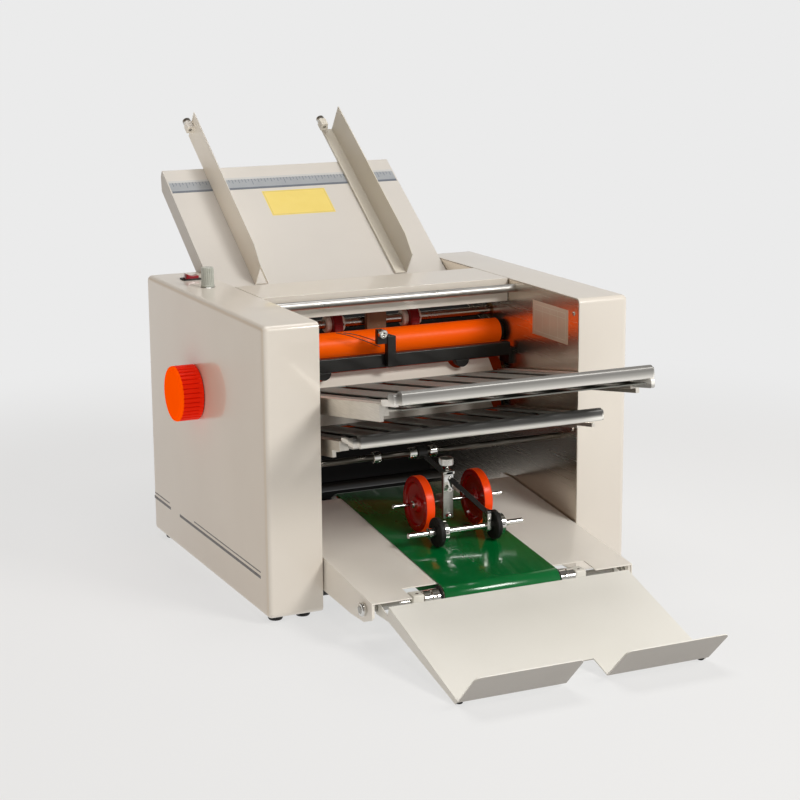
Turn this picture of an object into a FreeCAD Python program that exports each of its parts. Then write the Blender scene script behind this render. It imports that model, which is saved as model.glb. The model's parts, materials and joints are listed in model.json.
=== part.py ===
import FreeCAD, Part
import math
import os

os.makedirs("parts", exist_ok=True)
V = FreeCAD.Vector

# Desktop buckle folder. While it is built, X runs across the machine, Y from its front face to
# the back, and Z up from the underside of the casings. The last lines move every piece, so that
# the origin is the middle of the underside of the whole machine's box.

# Casings and frame
throat = 356.0            # clear width between the two casings
casing_width = 72.0
casing_depth = 440.0
casing_height = 361.0
casing_wall = 1.5
casing_round = 7.0
side_plate_thickness = 5.0
foot_radius = 10.0
foot_height = 8.0
foot_inset_x = 18.0       # from a casing's inner and outer face to the middle of a foot
foot_inset_y = 24.0
tie_radius = 7.0
tie_behind_rollers = 190.0    # the upper rear tie, from the front column of rollers
tie_below_rollers = 36.5      # and below the top roller's axis
rear_cover_sheet = 1.5
rear_cover_inset = 4.0    # from the casings' back face
rear_cover_z = (8.0, 140.0)
running_fit = 0.05        # radial play of every shaft in its hole
clear_gap = 0.3           # least air between pieces that move against each other
soft_edge = 1.5           # rounding of tyres, wheels and small bars
side_air = 1.0            # air between a cross piece and the side plates

# Fold rollers: two columns in a zigzag, numbered from the top
roller_radius = 17.5
roller_air = 16.0         # between two rollers of one column
roller_front_y = 210.0
roller_top_z = 286.5
roller_count = 6
roller_end_air = 8.0      # from the sleeve's end to the side plate
journal_radius = 6.0
bearing_radius = 11.0
bearing_flange = 2.0
bearing_rim = 2.0         # of the flange, past the bush

# Gears, all of one tooth size
roller_teeth = 20
knob_teeth = 12
feed_teeth = 36
gear_width = 8.0
gear_side_air = 2.0

# Hand knob
knob_radius = 36.0
knob_length = 31.5
knob_flutes = 36
knob_flute_radius = 1.9
knob_edge = 3.0           # rounding round the outer face
knob_air = 0.8            # from the knob to the casing
knob_bore_depth = 20.0

# Feed
feed_wheel_radius = 20.0
feed_wheel_width = 13.0
feed_hub_wall = 5.0
feed_wheel_spacing = 112.0
feed_shaft_behind = 10.0  # behind the rear column of rollers
feed_tilt = 34.9          # of the feed tray, in degrees
feed_tray_width = 355.0
feed_tray_top_y = 579.3
feed_tray_top_z = 486.8
feed_tray_bend_y = 330.0
feed_tray_flange = 26.0
feed_sheet = 1.5
guide_sheet = 1.5
guide_height = 45.0
guide_end_height = 36.0
guide_flange = 19.0
guide_ridge = 4.5
guide_half_spacing = 115.0
guide_overhang = 74.0     # past the tray's top edge
guide_length = 320.0
guide_screw_height = {"left": 23.0, "right": 17.0}
guide_screw_radius = 6.0
guide_shank_radius = 2.5
clamp_half = 7.0          # of the block that a guide's screw clamps, along the tray
clamp_side = 5.0
clamp_rise = 6.0

# Fold plates
plate_tilt = 9.0
rail_height = 21.0
rail_width = 12.0
rail_web = 5.0            # the outer part of a rail, which is deeper by rail_step
rail_step = 6.0
rail_outer = 171.0        # half width over the rails
rail_air = 1.0            # from the rails' top to the upper slats
tie_depth = 12.0
tie_sheet = 3.0
slat_pitch = 53.0
slat_width = 36.0
slat_count = 5
slat_sheet = 1.5
paper_gap = 4.0
lip_rise = 17.0
lip_half = 150.0
lip_reach = 6.0           # the lip's foot and head, before and behind the plate's mouth
slat_end = 8.0            # from a slat's end to the mouth
strip_depth = 20.0        # of the strip under the front bar
mouth_strip = 10.0
bar_half = 163.0
bar_height = 16.0
bar_depth = 12.0
upper_bar_top = 14.5      # above the rails' top line
lower_bar_top = 8.5
plate_bar_ahead = 35.0    # from the end of the rails to the front bar
bar_round = 4.5
bar_link = 5.0            # the thickness of what joins the bar to the rails
stop_radius = 8.0
stop_shank = 3.0
mouth_ahead = 25.0        # from a plate's mouth to the axes of the rollers behind it
mouth_drop = 22.2
upper_plate_length = 343.0
lower_plate_length = 227.0
rear_plate_length = 200.0

# Delivery
deck_tilt = 6.475
deck_zero_z = 68.1        # height of the deck's top at the casings' front face
deck_front_y = -141.0
deck_rear_y = 176.0
deck_half = 176.0
deck_sheet = 1.5
deck_flange_z = 26.0
deck_notch_half = 124.0
deck_notch_y = -112.0
belt_half = 78.0
belt_sheet = 1.6
belt_roller_radius = 14.0
belt_front_y = -120.2
belt_rear_y = 188.0
belt_journal = 5.0
belt_collar_radius = 12.0
block_x = (103.0, 117.0)  # the belt's end blocks, across the machine
block_half = 9.5
tray_half = 161.0
tray_rear_y = -155.0
tray_rear_z = 51.0
tray_front_y = -332.0
tray_front_z = -2.6
tray_flap = 58.0
tray_flap_lean = 45.0
tray_sheet = 1.5
tray_edge = 19.0          # depth of the tray's side edges at the hinge
tray_ear = 8.5            # half width of the ears round the hinge
flap_round = 8.0
notch_half = 26.5
notch_depth = 30.0

# Press rollers
press_axle_y = 37.0
press_wheel_radius = 35.7
press_wheel_width = 12.0
press_wheel_middles = (-30.0, 51.0)
press_shaft_y = -17.0
press_disc_radius = 18.7
press_disc_width = 7.0
press_disc_starts = (-34.0, 45.0)
press_hub_radius = 13.5
press_axle_radius = 2.6
press_shaft_radius = 3.7
press_post_x = 3.0
press_post_half = 7.0
press_arm_width = 6.0
press_arm_thickness = 3.5
press_rod_y = 48.0
press_rod_z = 174.0
press_rod_radius = 4.0

# Drive and controls
big_pulley_radius = 30.0
small_pulley_radius = 12.0
band_pulley_radius = 14.0
pulley_width = 12.0
pulley_rim = 2.0
pulley_rim_height = 3.0
drive_belt_sheet = 2.5
motor_back = 110.0        # from the fifth roller's axis to the motor's
motor_below = 90.0
motor_radius = 38.0
motor_wall = 10.0         # the can and its windings
motor_shaft_radius = 4.0
rotor_air = 1.0
switch_size = (25.0, 18.0)
rocker_half = (9.5, 6.0)
rocker_pin_radius = 1.2
rocker_tilt = 9.0
speed_height = 26.0
speed_radius = 9.0
speed_flutes = 18
speed_shaft_radius = 3.0
inlet_size = (28.0, 21.0)

# Derived frame
x_in = throat / 2
x_out = x_in + casing_width
plate_out = x_in + side_plate_thickness
gear_in = plate_out + bearing_flange + gear_side_air
gear_out = gear_in + gear_width
knob_gear_in = gear_out + gear_side_air
knob_gear_out = knob_gear_in + gear_width

nodes = {}


def box(x0, x1, y0, y1, z0, z1):
    low = V(min(x0, x1), min(y0, y1), min(z0, z1))
    return Part.makeBox(abs(x1 - x0), abs(y1 - y0), abs(z1 - z0), low)


def rod_x(x0, x1, centre, radius):
    return Part.makeCylinder(radius, abs(x1 - x0), V(min(x0, x1), centre[0], centre[1]), V(1, 0, 0))


def rod_between(start, end, radius):
    way = end - start
    return Part.makeCylinder(radius, way.Length, start, way)


def fuse(shapes):
    joined = shapes[0].fuse(list(shapes[1:])) if len(shapes) > 1 else shapes[0]
    return joined.removeSplitter()


def sheet_profile(points, x0, x1):
    """A closed outline in the YZ plane, drawn out from x0 to x1."""
    corners = [V(x0, y, z) for y, z in points]
    face = Part.Face(Part.makePolygon(corners + [corners[0]]))
    return face.extrude(V(x1 - x0, 0, 0))


def bent_strip(points, thickness, x0, x1):
    """A sheet that follows points (y, z); its thickness lies below the line."""
    lower = []
    for index, (y, z) in enumerate(points):
        before = points[max(index - 1, 0)]
        after = points[min(index + 1, len(points) - 1)]
        turn_in = math.atan2(points[index][1] - before[1], points[index][0] - before[0])
        turn_out = math.atan2(after[1] - points[index][1], after[0] - points[index][0])
        if index == 0:
            turn_in = turn_out
        if index == len(points) - 1:
            turn_out = turn_in
        half = (turn_out - turn_in) / 2
        mean = (turn_out + turn_in) / 2
        reach = thickness / math.cos(half)
        lower.append((y + reach * math.sin(mean), z - reach * math.cos(mean)))
    return sheet_profile(list(points) + lower[::-1], x0, x1)


def round_edges(shape, radius, chosen):
    edges = [edge for edge in shape.Edges if chosen(edge)]
    return shape.makeFillet(radius, edges) if edges else shape


def along(edge, axis):
    ends = [vertex.Point for vertex in edge.Vertexes]
    if len(ends) < 2:
        return False
    way = ends[1] - ends[0]
    return way.Length > 1e-6 and abs(way.normalize().dot(axis)) > 0.999


def mirror_x(shape):
    return shape.mirror(V(0, 0, 0), V(1, 0, 0))


def both_sides(shape):
    return [shape, mirror_x(shape)]


def group(shapes):
    return Part.makeCompound(list(shapes))


def keep(name, shape):
    nodes[name] = shape


# --- Rollers and gears -----------------------------------------------------------------------

centre_gap = 2 * roller_radius
roller_pitch = 2 * roller_radius + roller_air
half_pitch = roller_pitch / 2
column_gap = math.sqrt(centre_gap ** 2 - half_pitch ** 2)
roller_centres = []
for index in range(roller_count):
    roller_centres.append((roller_front_y + column_gap * (index % 2), roller_top_z - index * half_pitch))

module_size = centre_gap / roller_teeth
knob_pitch_radius = module_size * knob_teeth / 2
feed_pitch_radius = module_size * feed_teeth / 2

knob_drop = half_pitch     # level with the middle between rollers 2 and 4
knob_reach = math.sqrt((roller_radius + knob_pitch_radius) ** 2 - knob_drop ** 2)
knob_centre = (roller_centres[1][0] + knob_reach, roller_centres[1][1] - knob_drop)
feed_rise = math.sqrt((roller_radius + feed_pitch_radius) ** 2 - feed_shaft_behind ** 2)
feed_centre = (roller_centres[1][0] + feed_shaft_behind, roller_centres[1][1] + feed_rise)


def direction(start, end):
    return math.degrees(math.atan2(end[1] - start[1], end[0] - start[0]))


def meshed_phase(phase, teeth, next_teeth, line):
    """Where the next gear has a tooth, when this one has a tooth at the angle phase."""
    offset = (phase - line) * teeth / next_teeth
    return line + 180 - offset - 180 / next_teeth


def gear_x(x0, x1, centre, teeth, phase):
    pitch_radius = module_size * teeth / 2
    tip = pitch_radius + 0.85 * module_size
    root = pitch_radius - 1.15 * module_size
    step = 360 / teeth
    shares = ((-0.30, root), (-0.10, tip), (0.10, tip), (0.30, root))
    points = []
    for tooth in range(teeth):
        for share, radius in shares:
            angle = math.radians(phase + step * (tooth + share))
            points.append((centre[0] + radius * math.cos(angle), centre[1] + radius * math.sin(angle)))
    return sheet_profile(points, x0, x1)


def keyed_gear(x0, x1, centre, teeth, phase):
    return gear_x(x0, x1, centre, teeth, phase).cut(rod_x(x0, x1, centre, journal_radius))


phases = [0.0]
for index in range(1, roller_count):
    line = direction(roller_centres[index - 1], roller_centres[index])
    phases.append(meshed_phase(phases[-1], roller_teeth, roller_teeth, line))
knob_phase = meshed_phase(phases[1], roller_teeth, knob_teeth, direction(roller_centres[1], knob_centre))
feed_phase = meshed_phase(phases[1], roller_teeth, feed_teeth, direction(roller_centres[1], feed_centre))

pulley_x0 = gear_in
pulley_x1 = gear_in + pulley_width
band_pulley_x = (-knob_gear_out, -knob_gear_in)
motor_centre = (roller_centres[4][0] + motor_back, roller_centres[4][1] - motor_below)


def grooved_pulley(x0, x1, centre, radius, bore):
    rims = [rod_x(start, start + pulley_rim, centre, radius + pulley_rim_height)
            for start in (x0, x1 - pulley_rim)]
    return fuse([rod_x(x0, x1, centre, radius)] + rims).cut(rod_x(x0, x1, centre, bore))


def pulley_loop(x0, x1, big, small, radii):
    """The outline round two pulleys of the given radii, as a solid."""
    span = math.hypot(small[0] - big[0], small[1] - big[1])
    line = math.atan2(small[1] - big[1], small[0] - big[0])
    open_angle = math.acos((radii[0] - radii[1]) / span)
    points = []
    tangents = ((big, radii[0], 1), (small, radii[1], 1), (small, radii[1], -1), (big, radii[0], -1))
    for centre, radius, sign in tangents:
        angle = line + sign * open_angle
        points.append((centre[0] + radius * math.cos(angle), centre[1] + radius * math.sin(angle)))
    discs = [rod_x(x0, x1, big, radii[0]), rod_x(x0, x1, small, radii[1])]
    return fuse([sheet_profile(points, x0, x1)] + discs)


def belt_round(x0, x1, big, small, radii, thickness):
    inside = [radius + clear_gap for radius in radii]
    outside = [radius + thickness for radius in inside]
    return pulley_loop(x0, x1, big, small, outside).cut(pulley_loop(x0, x1, big, small, inside))


sleeve_half = x_in - roller_end_air
for index, centre in enumerate(roller_centres):
    right_end = gear_out if index == 1 else pulley_x1 if index == 4 else plate_out
    left_end = knob_gear_out if index in (1, 5) else gear_out
    sleeve = rod_x(-sleeve_half, sleeve_half, centre, roller_radius - 0.02)
    core = fuse([rod_x(-left_end, right_end, centre, journal_radius), sleeve])
    solids = [core, keyed_gear(-gear_out, -gear_in, centre, roller_teeth, phases[index])]
    if index == 1:
        solids.append(keyed_gear(gear_in, gear_out, centre, roller_teeth, phases[index]))
        solids.append(keyed_gear(-knob_gear_out, -knob_gear_in, centre, roller_teeth, phases[index]))
    if index == 4:
        solids.append(grooved_pulley(pulley_x0, pulley_x1, centre, big_pulley_radius, journal_radius))
    if index == 5:
        solids.append(grooved_pulley(*band_pulley_x, centre, band_pulley_radius, journal_radius))
    keep("fold_roller_%d" % (index + 1), group(solids))

keep("feed_shaft", group([
    rod_x(-plate_out, gear_out, feed_centre, journal_radius),
    keyed_gear(gear_in, gear_out, feed_centre, feed_teeth, feed_phase)]))


def feed_wheel(middle):
    half = feed_wheel_width / 2
    tyre = rod_x(middle - half, middle + half, feed_centre, feed_wheel_radius)
    tyre = round_edges(tyre, soft_edge, lambda edge: isinstance(edge.Curve, Part.Circle))
    hub = rod_x(middle - 2 * half, middle + 2 * half, feed_centre, journal_radius + feed_hub_wall)
    return fuse([tyre, hub]).cut(rod_x(-plate_out, plate_out, feed_centre, journal_radius))


keep("feed_wheels", group(feed_wheel(side * feed_wheel_spacing / 2) for side in (-1, 1)))

# Hand knob and its shaft


def ring_places(count, radius):
    """Points evenly spaced on a circle round the origin."""
    angles = [math.radians(360 * index / count) for index in range(count)]
    return [(radius * math.cos(angle), radius * math.sin(angle)) for angle in angles]


knob_face = -x_out - knob_air
knob_end = knob_face - knob_length
knob = rod_x(knob_face, knob_end, knob_centre, knob_radius)
knob = round_edges(knob, knob_edge, lambda edge: abs(edge.CenterOfMass.x - knob_end) < 0.01)
flutes = [rod_x(knob_face - soft_edge, knob_end, (knob_centre[0] + a, knob_centre[1] + b), knob_flute_radius)
          for a, b in ring_places(knob_flutes, knob_radius + knob_flute_radius / 2)]
knob_bore = rod_x(knob_face, knob_face - knob_bore_depth, knob_centre, journal_radius)
keep("hand_knob", knob.cut(flutes + [knob_bore]))
keep("knob_shaft", group([
    rod_x(-x_in - clear_gap, knob_face - knob_bore_depth, knob_centre, journal_radius),
    keyed_gear(-knob_gear_out, -knob_gear_in, knob_centre, knob_teeth, knob_phase)]))

# --- Casings, side plates, bearings ----------------------------------------------------------

press_rod = (press_rod_y, press_rod_z)
front_bar = (176.0, casing_height - 11.5)
front_bar_radius = 5.5
tie_inset = 40.0
tie_rear_y = casing_depth - tie_inset
tie_centres = [(tie_inset, 2 * tie_radius), (tie_rear_y, tie_inset),
               (roller_front_y + tie_behind_rollers, roller_top_z - tie_below_rollers)]
cover_pivot = (283.0, casing_height - 10.0)
cover_pin_radius = 3.0


def rounded_block(x0, x1, inset, radius):
    block = box(x0, x1, inset, casing_depth - inset, inset, casing_height - inset)
    far = max(abs(x0), abs(x1))

    def outer(edge):
        runs_across = along(edge, V(1, 0, 0))
        on_far_face = all(abs(abs(vertex.Point.x) - far) < 1e-6 for vertex in edge.Vertexes)
        return runs_across or on_far_face

    return round_edges(block, radius, outer)


def side_plate():
    inset = casing_wall
    plate = box(x_in, plate_out, inset, casing_depth - inset, inset, casing_height - inset)
    plate = round_edges(plate, casing_round - inset, lambda edge: along(edge, V(1, 0, 0)))
    holes = [rod_x(x_in, plate_out, centre, bearing_radius) for centre in roller_centres + [feed_centre]]
    holes.append(rod_x(x_in, plate_out, cover_pivot, cover_pin_radius + running_fit))
    return plate.cut(holes)


def casing():
    shell = rounded_block(x_in, x_out, 0.0, casing_round)
    cavity = rounded_block(x_in - 5.0, x_out - casing_wall, casing_wall, casing_round - casing_wall)
    return shell.cut(cavity)


casing_middle = (x_in + x_out) / 2
switch_centre = (-casing_middle + 5.5, casing_depth - 65.0)
speed_centre = (-casing_middle + 5.0, casing_depth - 135.0)
inlet_centre = (casing_middle, 62.0)


def across(middle, size, margin):
    """The two ends of a span of that size about its middle, drawn in by a margin."""
    return (middle - size / 2 + margin, middle + size / 2 - margin)


bezel_rim = 2.0
switch_x = across(switch_centre[0], switch_size[0], bezel_rim)
switch_y = across(switch_centre[1], switch_size[1], bezel_rim)
inlet_x = across(inlet_centre[0], inlet_size[0], 0.0)
inlet_z = across(inlet_centre[1], inlet_size[1], 0.0)
keep("left_casing", mirror_x(casing()).cut([
    rod_x(-x_out - casing_wall, -x_out + 2 * casing_wall, knob_centre, journal_radius + running_fit),
    box(*switch_x, *switch_y, casing_height - 2 * casing_wall, casing_height + casing_wall),
    Part.makeCylinder(speed_shaft_radius + running_fit, 3 * casing_wall,
                      V(*speed_centre, casing_height - 2 * casing_wall))]))
keep("right_casing", casing().cut(
    box(*inlet_x, casing_depth - 2 * casing_wall, casing_depth + casing_wall, *inlet_z)))
keep("left_side_plate", mirror_x(side_plate()).cut(rod_x(-plate_out, -x_in, knob_centre, bearing_radius)))
keep("right_side_plate", side_plate())


def flanged_bearing(centre):
    """A bush for the right side plate, with its flange on the casing's side."""
    body = fuse([rod_x(x_in, plate_out, centre, bearing_radius),
                 rod_x(plate_out, plate_out + bearing_flange, centre, bearing_radius + bearing_rim)])
    return body.cut(rod_x(x_in, gear_in, centre, journal_radius + running_fit))


bushes = []
for centre in roller_centres + [feed_centre]:
    bushes += both_sides(flanged_bearing(centre))
bushes.append(mirror_x(flanged_bearing(knob_centre)))
keep("shaft_bearings", group(bushes))

feet = []
for x in (x_in + foot_inset_x, x_out - foot_inset_x):
    for y in (foot_inset_y, casing_depth - foot_inset_y):
        feet += both_sides(Part.makeCone(foot_radius - 1.5, foot_radius, foot_height, V(x, y, -foot_height)))
keep("rubber_feet", group(feet))

keep("tie_bars", group(rod_x(-x_in, x_in, centre, tie_radius) for centre in tie_centres))
collar_half = 5.0
collars = [rod_x(x - collar_half, x + collar_half, press_rod, 7.0) for x in (-84.0, -34.0, -6.0)]
keep("press_rod", fuse([rod_x(-x_in, x_in, press_rod, press_rod_radius)] + collars))
keep("front_bar", rod_x(-x_in, x_in, front_bar, front_bar_radius))
rear_cover_y = casing_depth - rear_cover_inset
rear_cover_flange = 14.0
keep("rear_cover", bent_strip([
    (rear_cover_y - rear_cover_flange, rear_cover_z[0]), (rear_cover_y, rear_cover_z[0]),
    (rear_cover_y, rear_cover_z[1]), (rear_cover_y - rear_cover_flange, rear_cover_z[1])],
    -rear_cover_sheet, -x_in, x_in))

# --- Top cover, crossbar, separator ----------------------------------------------------------

cover_front_y = 190.0
cover_rear_y = 289.0
cover_half = x_in - side_air
cover_sheet = 2.0
cover_lip = 31.0
cover_rear_lip = 9.0
cover_ear_depth = 18.0
cover_line = [(cover_front_y, casing_height - cover_lip), (cover_front_y, casing_height),
              (cover_rear_y, casing_height), (cover_rear_y, casing_height - cover_rear_lip)]
cover_top = bent_strip(cover_line, cover_sheet, -cover_half, cover_half)
cover_inside = cover_half - cover_sheet
cover_ear = box(cover_inside, cover_half, cover_front_y + cover_sheet, cover_rear_y - cover_sheet,
                casing_height - cover_ear_depth, casing_height - cover_sheet)
cover_pin = rod_x(cover_inside, plate_out - 0.5, cover_pivot, cover_pin_radius)
keep("top_cover", fuse([cover_top] + both_sides(cover_ear) + both_sides(cover_pin)))

crossbar_y = (172.0, 184.0)
crossbar_z = (259.0, 277.0)
crossbar_half = x_in - 6.0
lug_x = 100.0
lug_radius = 10.0
lug_air = 1.5
bar = box(-crossbar_half, crossbar_half, *crossbar_y, *crossbar_z)
bar = round_edges(bar, soft_edge, lambda edge: along(edge, V(1, 0, 0)))


def crossbar_lug(x):
    """The lower half of a disc that hangs from the bar."""
    middle = V(x, crossbar_y[0], crossbar_z[0])
    disc = Part.makeCylinder(lug_radius, crossbar_y[1] - crossbar_y[0], middle, V(0, 1, 0))
    room = (crossbar_z[0] - lug_radius, crossbar_z[0])
    return disc.common(box(x - lug_radius, x + lug_radius, *crossbar_y, *room))


bracket = box(crossbar_half, x_in, crossbar_y[0] + 4, crossbar_y[1] + 20,
              crossbar_z[0] - 13, crossbar_z[1] - 9)

post_x = -8.2
post_width = 12.0
post_depth = 10.0
post_top = 302.0
screw_head_radius = 6.0
screw_head_length = 7.0
screw_shank_radius = 2.5
screw_arm = (15.0, 3.0)   # the lower and upper side of the screw's arm, below its axis
screw_eye = 4.5           # half width of the arm's end, and its height above the axis
screw_place = V(post_x - 15.5, crossbar_y[0] - post_depth - 2.0, post_top + 5.0)
post_y = (crossbar_y[0] - post_depth, crossbar_y[0])
arm_y = (post_y[0] + 2.0, post_y[1] - 1.0)
post = fuse([
    box(post_x - post_width / 2, post_x + post_width / 2, *post_y, crossbar_z[0] + 2, post_top),
    box(screw_place.x - screw_eye, post_x, *arm_y,
        screw_place.z - screw_arm[0], screw_place.z - screw_arm[1]),
    box(screw_place.x - screw_eye, screw_place.x + screw_eye, *arm_y,
        screw_place.z - screw_arm[0], screw_place.z + screw_eye)])
post = post.cut(Part.makeCylinder(screw_shank_radius + running_fit, 2 * post_depth, screw_place, V(0, 1, 0)))
bar = fuse([bar, crossbar_lug(-lug_x), crossbar_lug(lug_x)])
keep("crossbar", group([bar, post] + both_sides(bracket)))
screw_front = screw_place - V(0, screw_head_length, 0)
screw_head = Part.makeCylinder(screw_head_radius, screw_head_length, screw_front, V(0, 1, 0))
screw_socket = Part.makeCylinder(2.8, 4.0, screw_front, V(0, 1, 0))
screw_shank = Part.makeCylinder(screw_shank_radius, 14.0, screw_place, V(0, 1, 0))
keep("separator_screw", fuse([screw_head, screw_shank]).cut(screw_socket))

# --- Feed tray and guides --------------------------------------------------------------------

feed_slope = math.tan(math.radians(feed_tilt))
feed_bend_z = feed_tray_top_z - (feed_tray_top_y - feed_tray_bend_y) * feed_slope
table_end_y = roller_centres[1][0] + 6.0
table_end_z = roller_centres[1][1] + roller_radius + 5.0
tray_half_width = feed_tray_width / 2
feed_line = [(table_end_y, table_end_z), (feed_tray_bend_y, feed_bend_z), (feed_tray_top_y, feed_tray_top_z)]
feed_sheet_body = bent_strip(feed_line, feed_sheet, -tray_half_width, tray_half_width)


def on_feed(along_slope, height, x):
    """A point on the feed tray, along_slope up from its top edge and height above it."""
    lean = math.radians(feed_tilt)
    return V(x, feed_tray_top_y + along_slope * math.cos(lean) - height * math.sin(lean),
             feed_tray_top_z + along_slope * math.sin(lean) + height * math.cos(lean))


def slope_prism(outline, x0, x1):
    """An outline of (along_slope, height) pairs above the feed tray, drawn out along X."""
    corners = [on_feed(s, h, x0) for s, h in outline]
    return Part.Face(Part.makePolygon(corners + [corners[0]])).extrude(V(x1 - x0, 0, 0))


slope_length = (feed_tray_top_y - feed_tray_bend_y) / math.cos(math.radians(feed_tilt))
flange_start = 24.0 - slope_length    # a little above the bend
flange_corner = 14.0
top_flange_depth = 10.0
side_flange = slope_prism([
    (flange_start, 0), (0, 0), (0, -top_flange_depth), (-flange_corner, -feed_tray_flange),
    (flange_start, -feed_tray_flange)], tray_half_width - feed_sheet, tray_half_width)
top_flange = slope_prism([
    (-feed_sheet, 0), (0, 0), (0, -top_flange_depth), (-feed_sheet, -top_flange_depth)],
    -tray_half_width, tray_half_width)
lug_size = 24.0
lug_back = 42.0           # from the bend
tray_lug = box(tray_half_width - 2 * feed_sheet, x_in, feed_tray_bend_y + lug_back,
               feed_tray_bend_y + lug_back + lug_size, feed_bend_z, feed_bend_z + lug_size)
keep("feed_tray", fuse([feed_sheet_body, top_flange] + both_sides(side_flange) + both_sides(tray_lug)))


guide_top_s = guide_overhang
guide_low_s = guide_overhang - guide_length
guide_lift = clear_gap
guide_knee_s = guide_low_s + 34.0
guide_ridge_end = guide_top_s - 6.0


def paper_guide():
    """The right guide: a flange on the tray and a wall on its outer side."""
    x = guide_half_spacing
    ridge_x = x - guide_flange
    flange_top = guide_lift + guide_sheet
    wall = slope_prism([(guide_low_s, guide_lift), (guide_top_s, guide_lift), (guide_top_s, guide_height),
                        (guide_knee_s, guide_height), (guide_low_s, guide_end_height)], x - guide_sheet, x)
    flange = slope_prism([(guide_low_s, guide_lift), (guide_top_s, guide_lift), (guide_top_s, flange_top),
                          (guide_low_s, flange_top)], ridge_x, x)
    ridge = slope_prism([
        (guide_low_s, guide_lift), (guide_ridge_end, guide_lift), (guide_ridge_end, guide_ridge),
        (guide_low_s, guide_ridge)], ridge_x, ridge_x + guide_sheet)
    return fuse([wall, flange, ridge])


clamp_s = guide_top_s - clamp_half
clamp_x = {"right": guide_half_spacing - guide_flange - 3.0, "left": -guide_half_spacing - 5.0}
guides = {"right": paper_guide(), "left": mirror_x(paper_guide())}


def clamp_rod(side, start_s, end_s, radius):
    start = on_feed(clamp_s + start_s, guide_screw_height[side], clamp_x[side])
    return rod_between(start, on_feed(clamp_s + end_s, guide_screw_height[side], clamp_x[side]), radius)


def clamp_block(low, high, x0, x1):
    """A block as long as the clamp, between two heights above the tray."""
    ends = (clamp_s - clamp_half, clamp_s + clamp_half)
    return slope_prism([(ends[0], low), (ends[1], low), (ends[1], high), (ends[0], high)], x0, x1)


stem_half = 1.0
screw_head_end = clamp_half + 8.0
for side, guide in guides.items():
    x = clamp_x[side]
    middle = guide_screw_height[side]
    holder = [clamp_block(middle - clamp_rise, middle + clamp_rise, x - clamp_side, x + clamp_side)]
    if side == "right":
        stem_x = x + clamp_side
        holder.append(clamp_block(guide_lift, middle, stem_x - stem_half, stem_x + stem_half))
    hole = clamp_rod(side, -2 * clamp_half, 2 * clamp_half, guide_shank_radius + running_fit)
    keep(side + "_guide", fuse([guide] + holder).cut(hole))
    shank = clamp_rod(side, 1.0 - clamp_half, 1.0 + clamp_half, guide_shank_radius)
    head = clamp_rod(side, clamp_half + clear_gap, screw_head_end, guide_screw_radius)
    keep(side + "_guide_screw", fuse([shank, head]))

pad_half = 14.0
pad_depth = 8.5
pad_air = 1.5             # from the pad to the feed shaft
pad_plate = 4.0
pad_strap = (10.0, 6.0)   # depth and height of the strap that carries the pad's plate
pad_rear = feed_centre[0] - journal_radius - pad_air
pad_front = pad_rear - pad_depth
plate_rear = pad_front + 26.0 + pad_strap[0]
plate_low = feed_centre[1] + pad_half
strap_low = plate_low + pad_plate
keep("separator_pad", fuse([
    box(-pad_half, pad_half, pad_front, pad_rear, feed_centre[1] - pad_half + 1.0, plate_low),
    box(-pad_half, pad_half, pad_front, plate_rear, plate_low, strap_low),
    box(-x_in, x_in, plate_rear - pad_strap[0], plate_rear, strap_low, strap_low + pad_strap[1])]))

# --- Fold plates -----------------------------------------------------------------------------


def place_plate(shape, mouth, rear):
    """Turn a plate that was built level, with its mouth at the origin and its bar towards -Y."""
    turned = shape.copy()
    turned.rotate(V(0, 0, 0), V(1, 0, 0), -plate_tilt)
    if rear:
        turned = turned.mirror(V(0, 0, 0), V(0, 1, 0))
    turned.translate(V(0, mouth[0], mouth[1]))
    return turned


def plate_rails(length, notched):
    """Two rails with a deeper outer web, and the two ties between them, each a piece of its own."""
    rail_inner = rail_outer - rail_width
    rail = fuse([box(rail_outer - rail_web, rail_outer, -length, 0, -rail_height, 0),
                 box(rail_inner, rail_outer, -length, 0, rail_step - rail_height, 0)])
    if notched:
        rail = rail.cut(box(rail_inner, rail_outer, -length, notch_end - length, -rail_height, finger_top))
    rails = both_sides(rail)
    if notched:
        finger = box(bar_half, bar_half + bar_link, -length - finger_ahead, notch_end - length,
                     finger_top - finger_height, finger_top)
        rails[0] = fuse([rails[0], finger])
    tie_top = -rail_air - 2 * slat_sheet - paper_gap
    ties = [box(-rail_inner, rail_inner, y, y + tie_depth, tie_top - tie_sheet, tie_top)
            for y in (tie_depth / 2 - length, -slat_end - tie_depth)]
    return rails + ties


def slat_layer(length, low):
    """One layer of slats, joined at the mouth and under the front bar."""
    reach = length + plate_bar_ahead
    rail_inner = rail_outer - rail_width
    layer = []
    for index in range(slat_count):
        start = (index - (slat_count - 1) / 2) * slat_pitch - slat_width / 2
        layer.append(box(start, start + slat_width, -reach, -slat_end, low, low + slat_sheet))
    edge_start = (slat_count + 1) / 2 * slat_pitch - slat_width / 2
    layer += both_sides(box(edge_start, rail_inner, -reach, -slat_end, low, low + slat_sheet))
    layer.append(box(-rail_inner, rail_inner, -lip_reach - mouth_strip, -lip_reach, low, low + slat_sheet))
    layer.append(box(-lip_half, lip_half, -reach, strip_depth - reach, low, low + slat_sheet))
    return layer


def plate_slats(length):
    """Two layers of slats with the paper's gap between them; the upper one ends in a raised lip."""
    upper_top = -rail_air
    upper_low = upper_top - slat_sheet
    lip_line = [(-lip_reach, upper_top), (lip_reach, upper_top + lip_rise)]
    lip = bent_strip(lip_line, slat_sheet, -lip_half, lip_half)
    lower_low = upper_low - paper_gap - slat_sheet
    return [fuse(slat_layer(length, upper_low) + [lip]), fuse(slat_layer(length, lower_low))]


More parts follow.
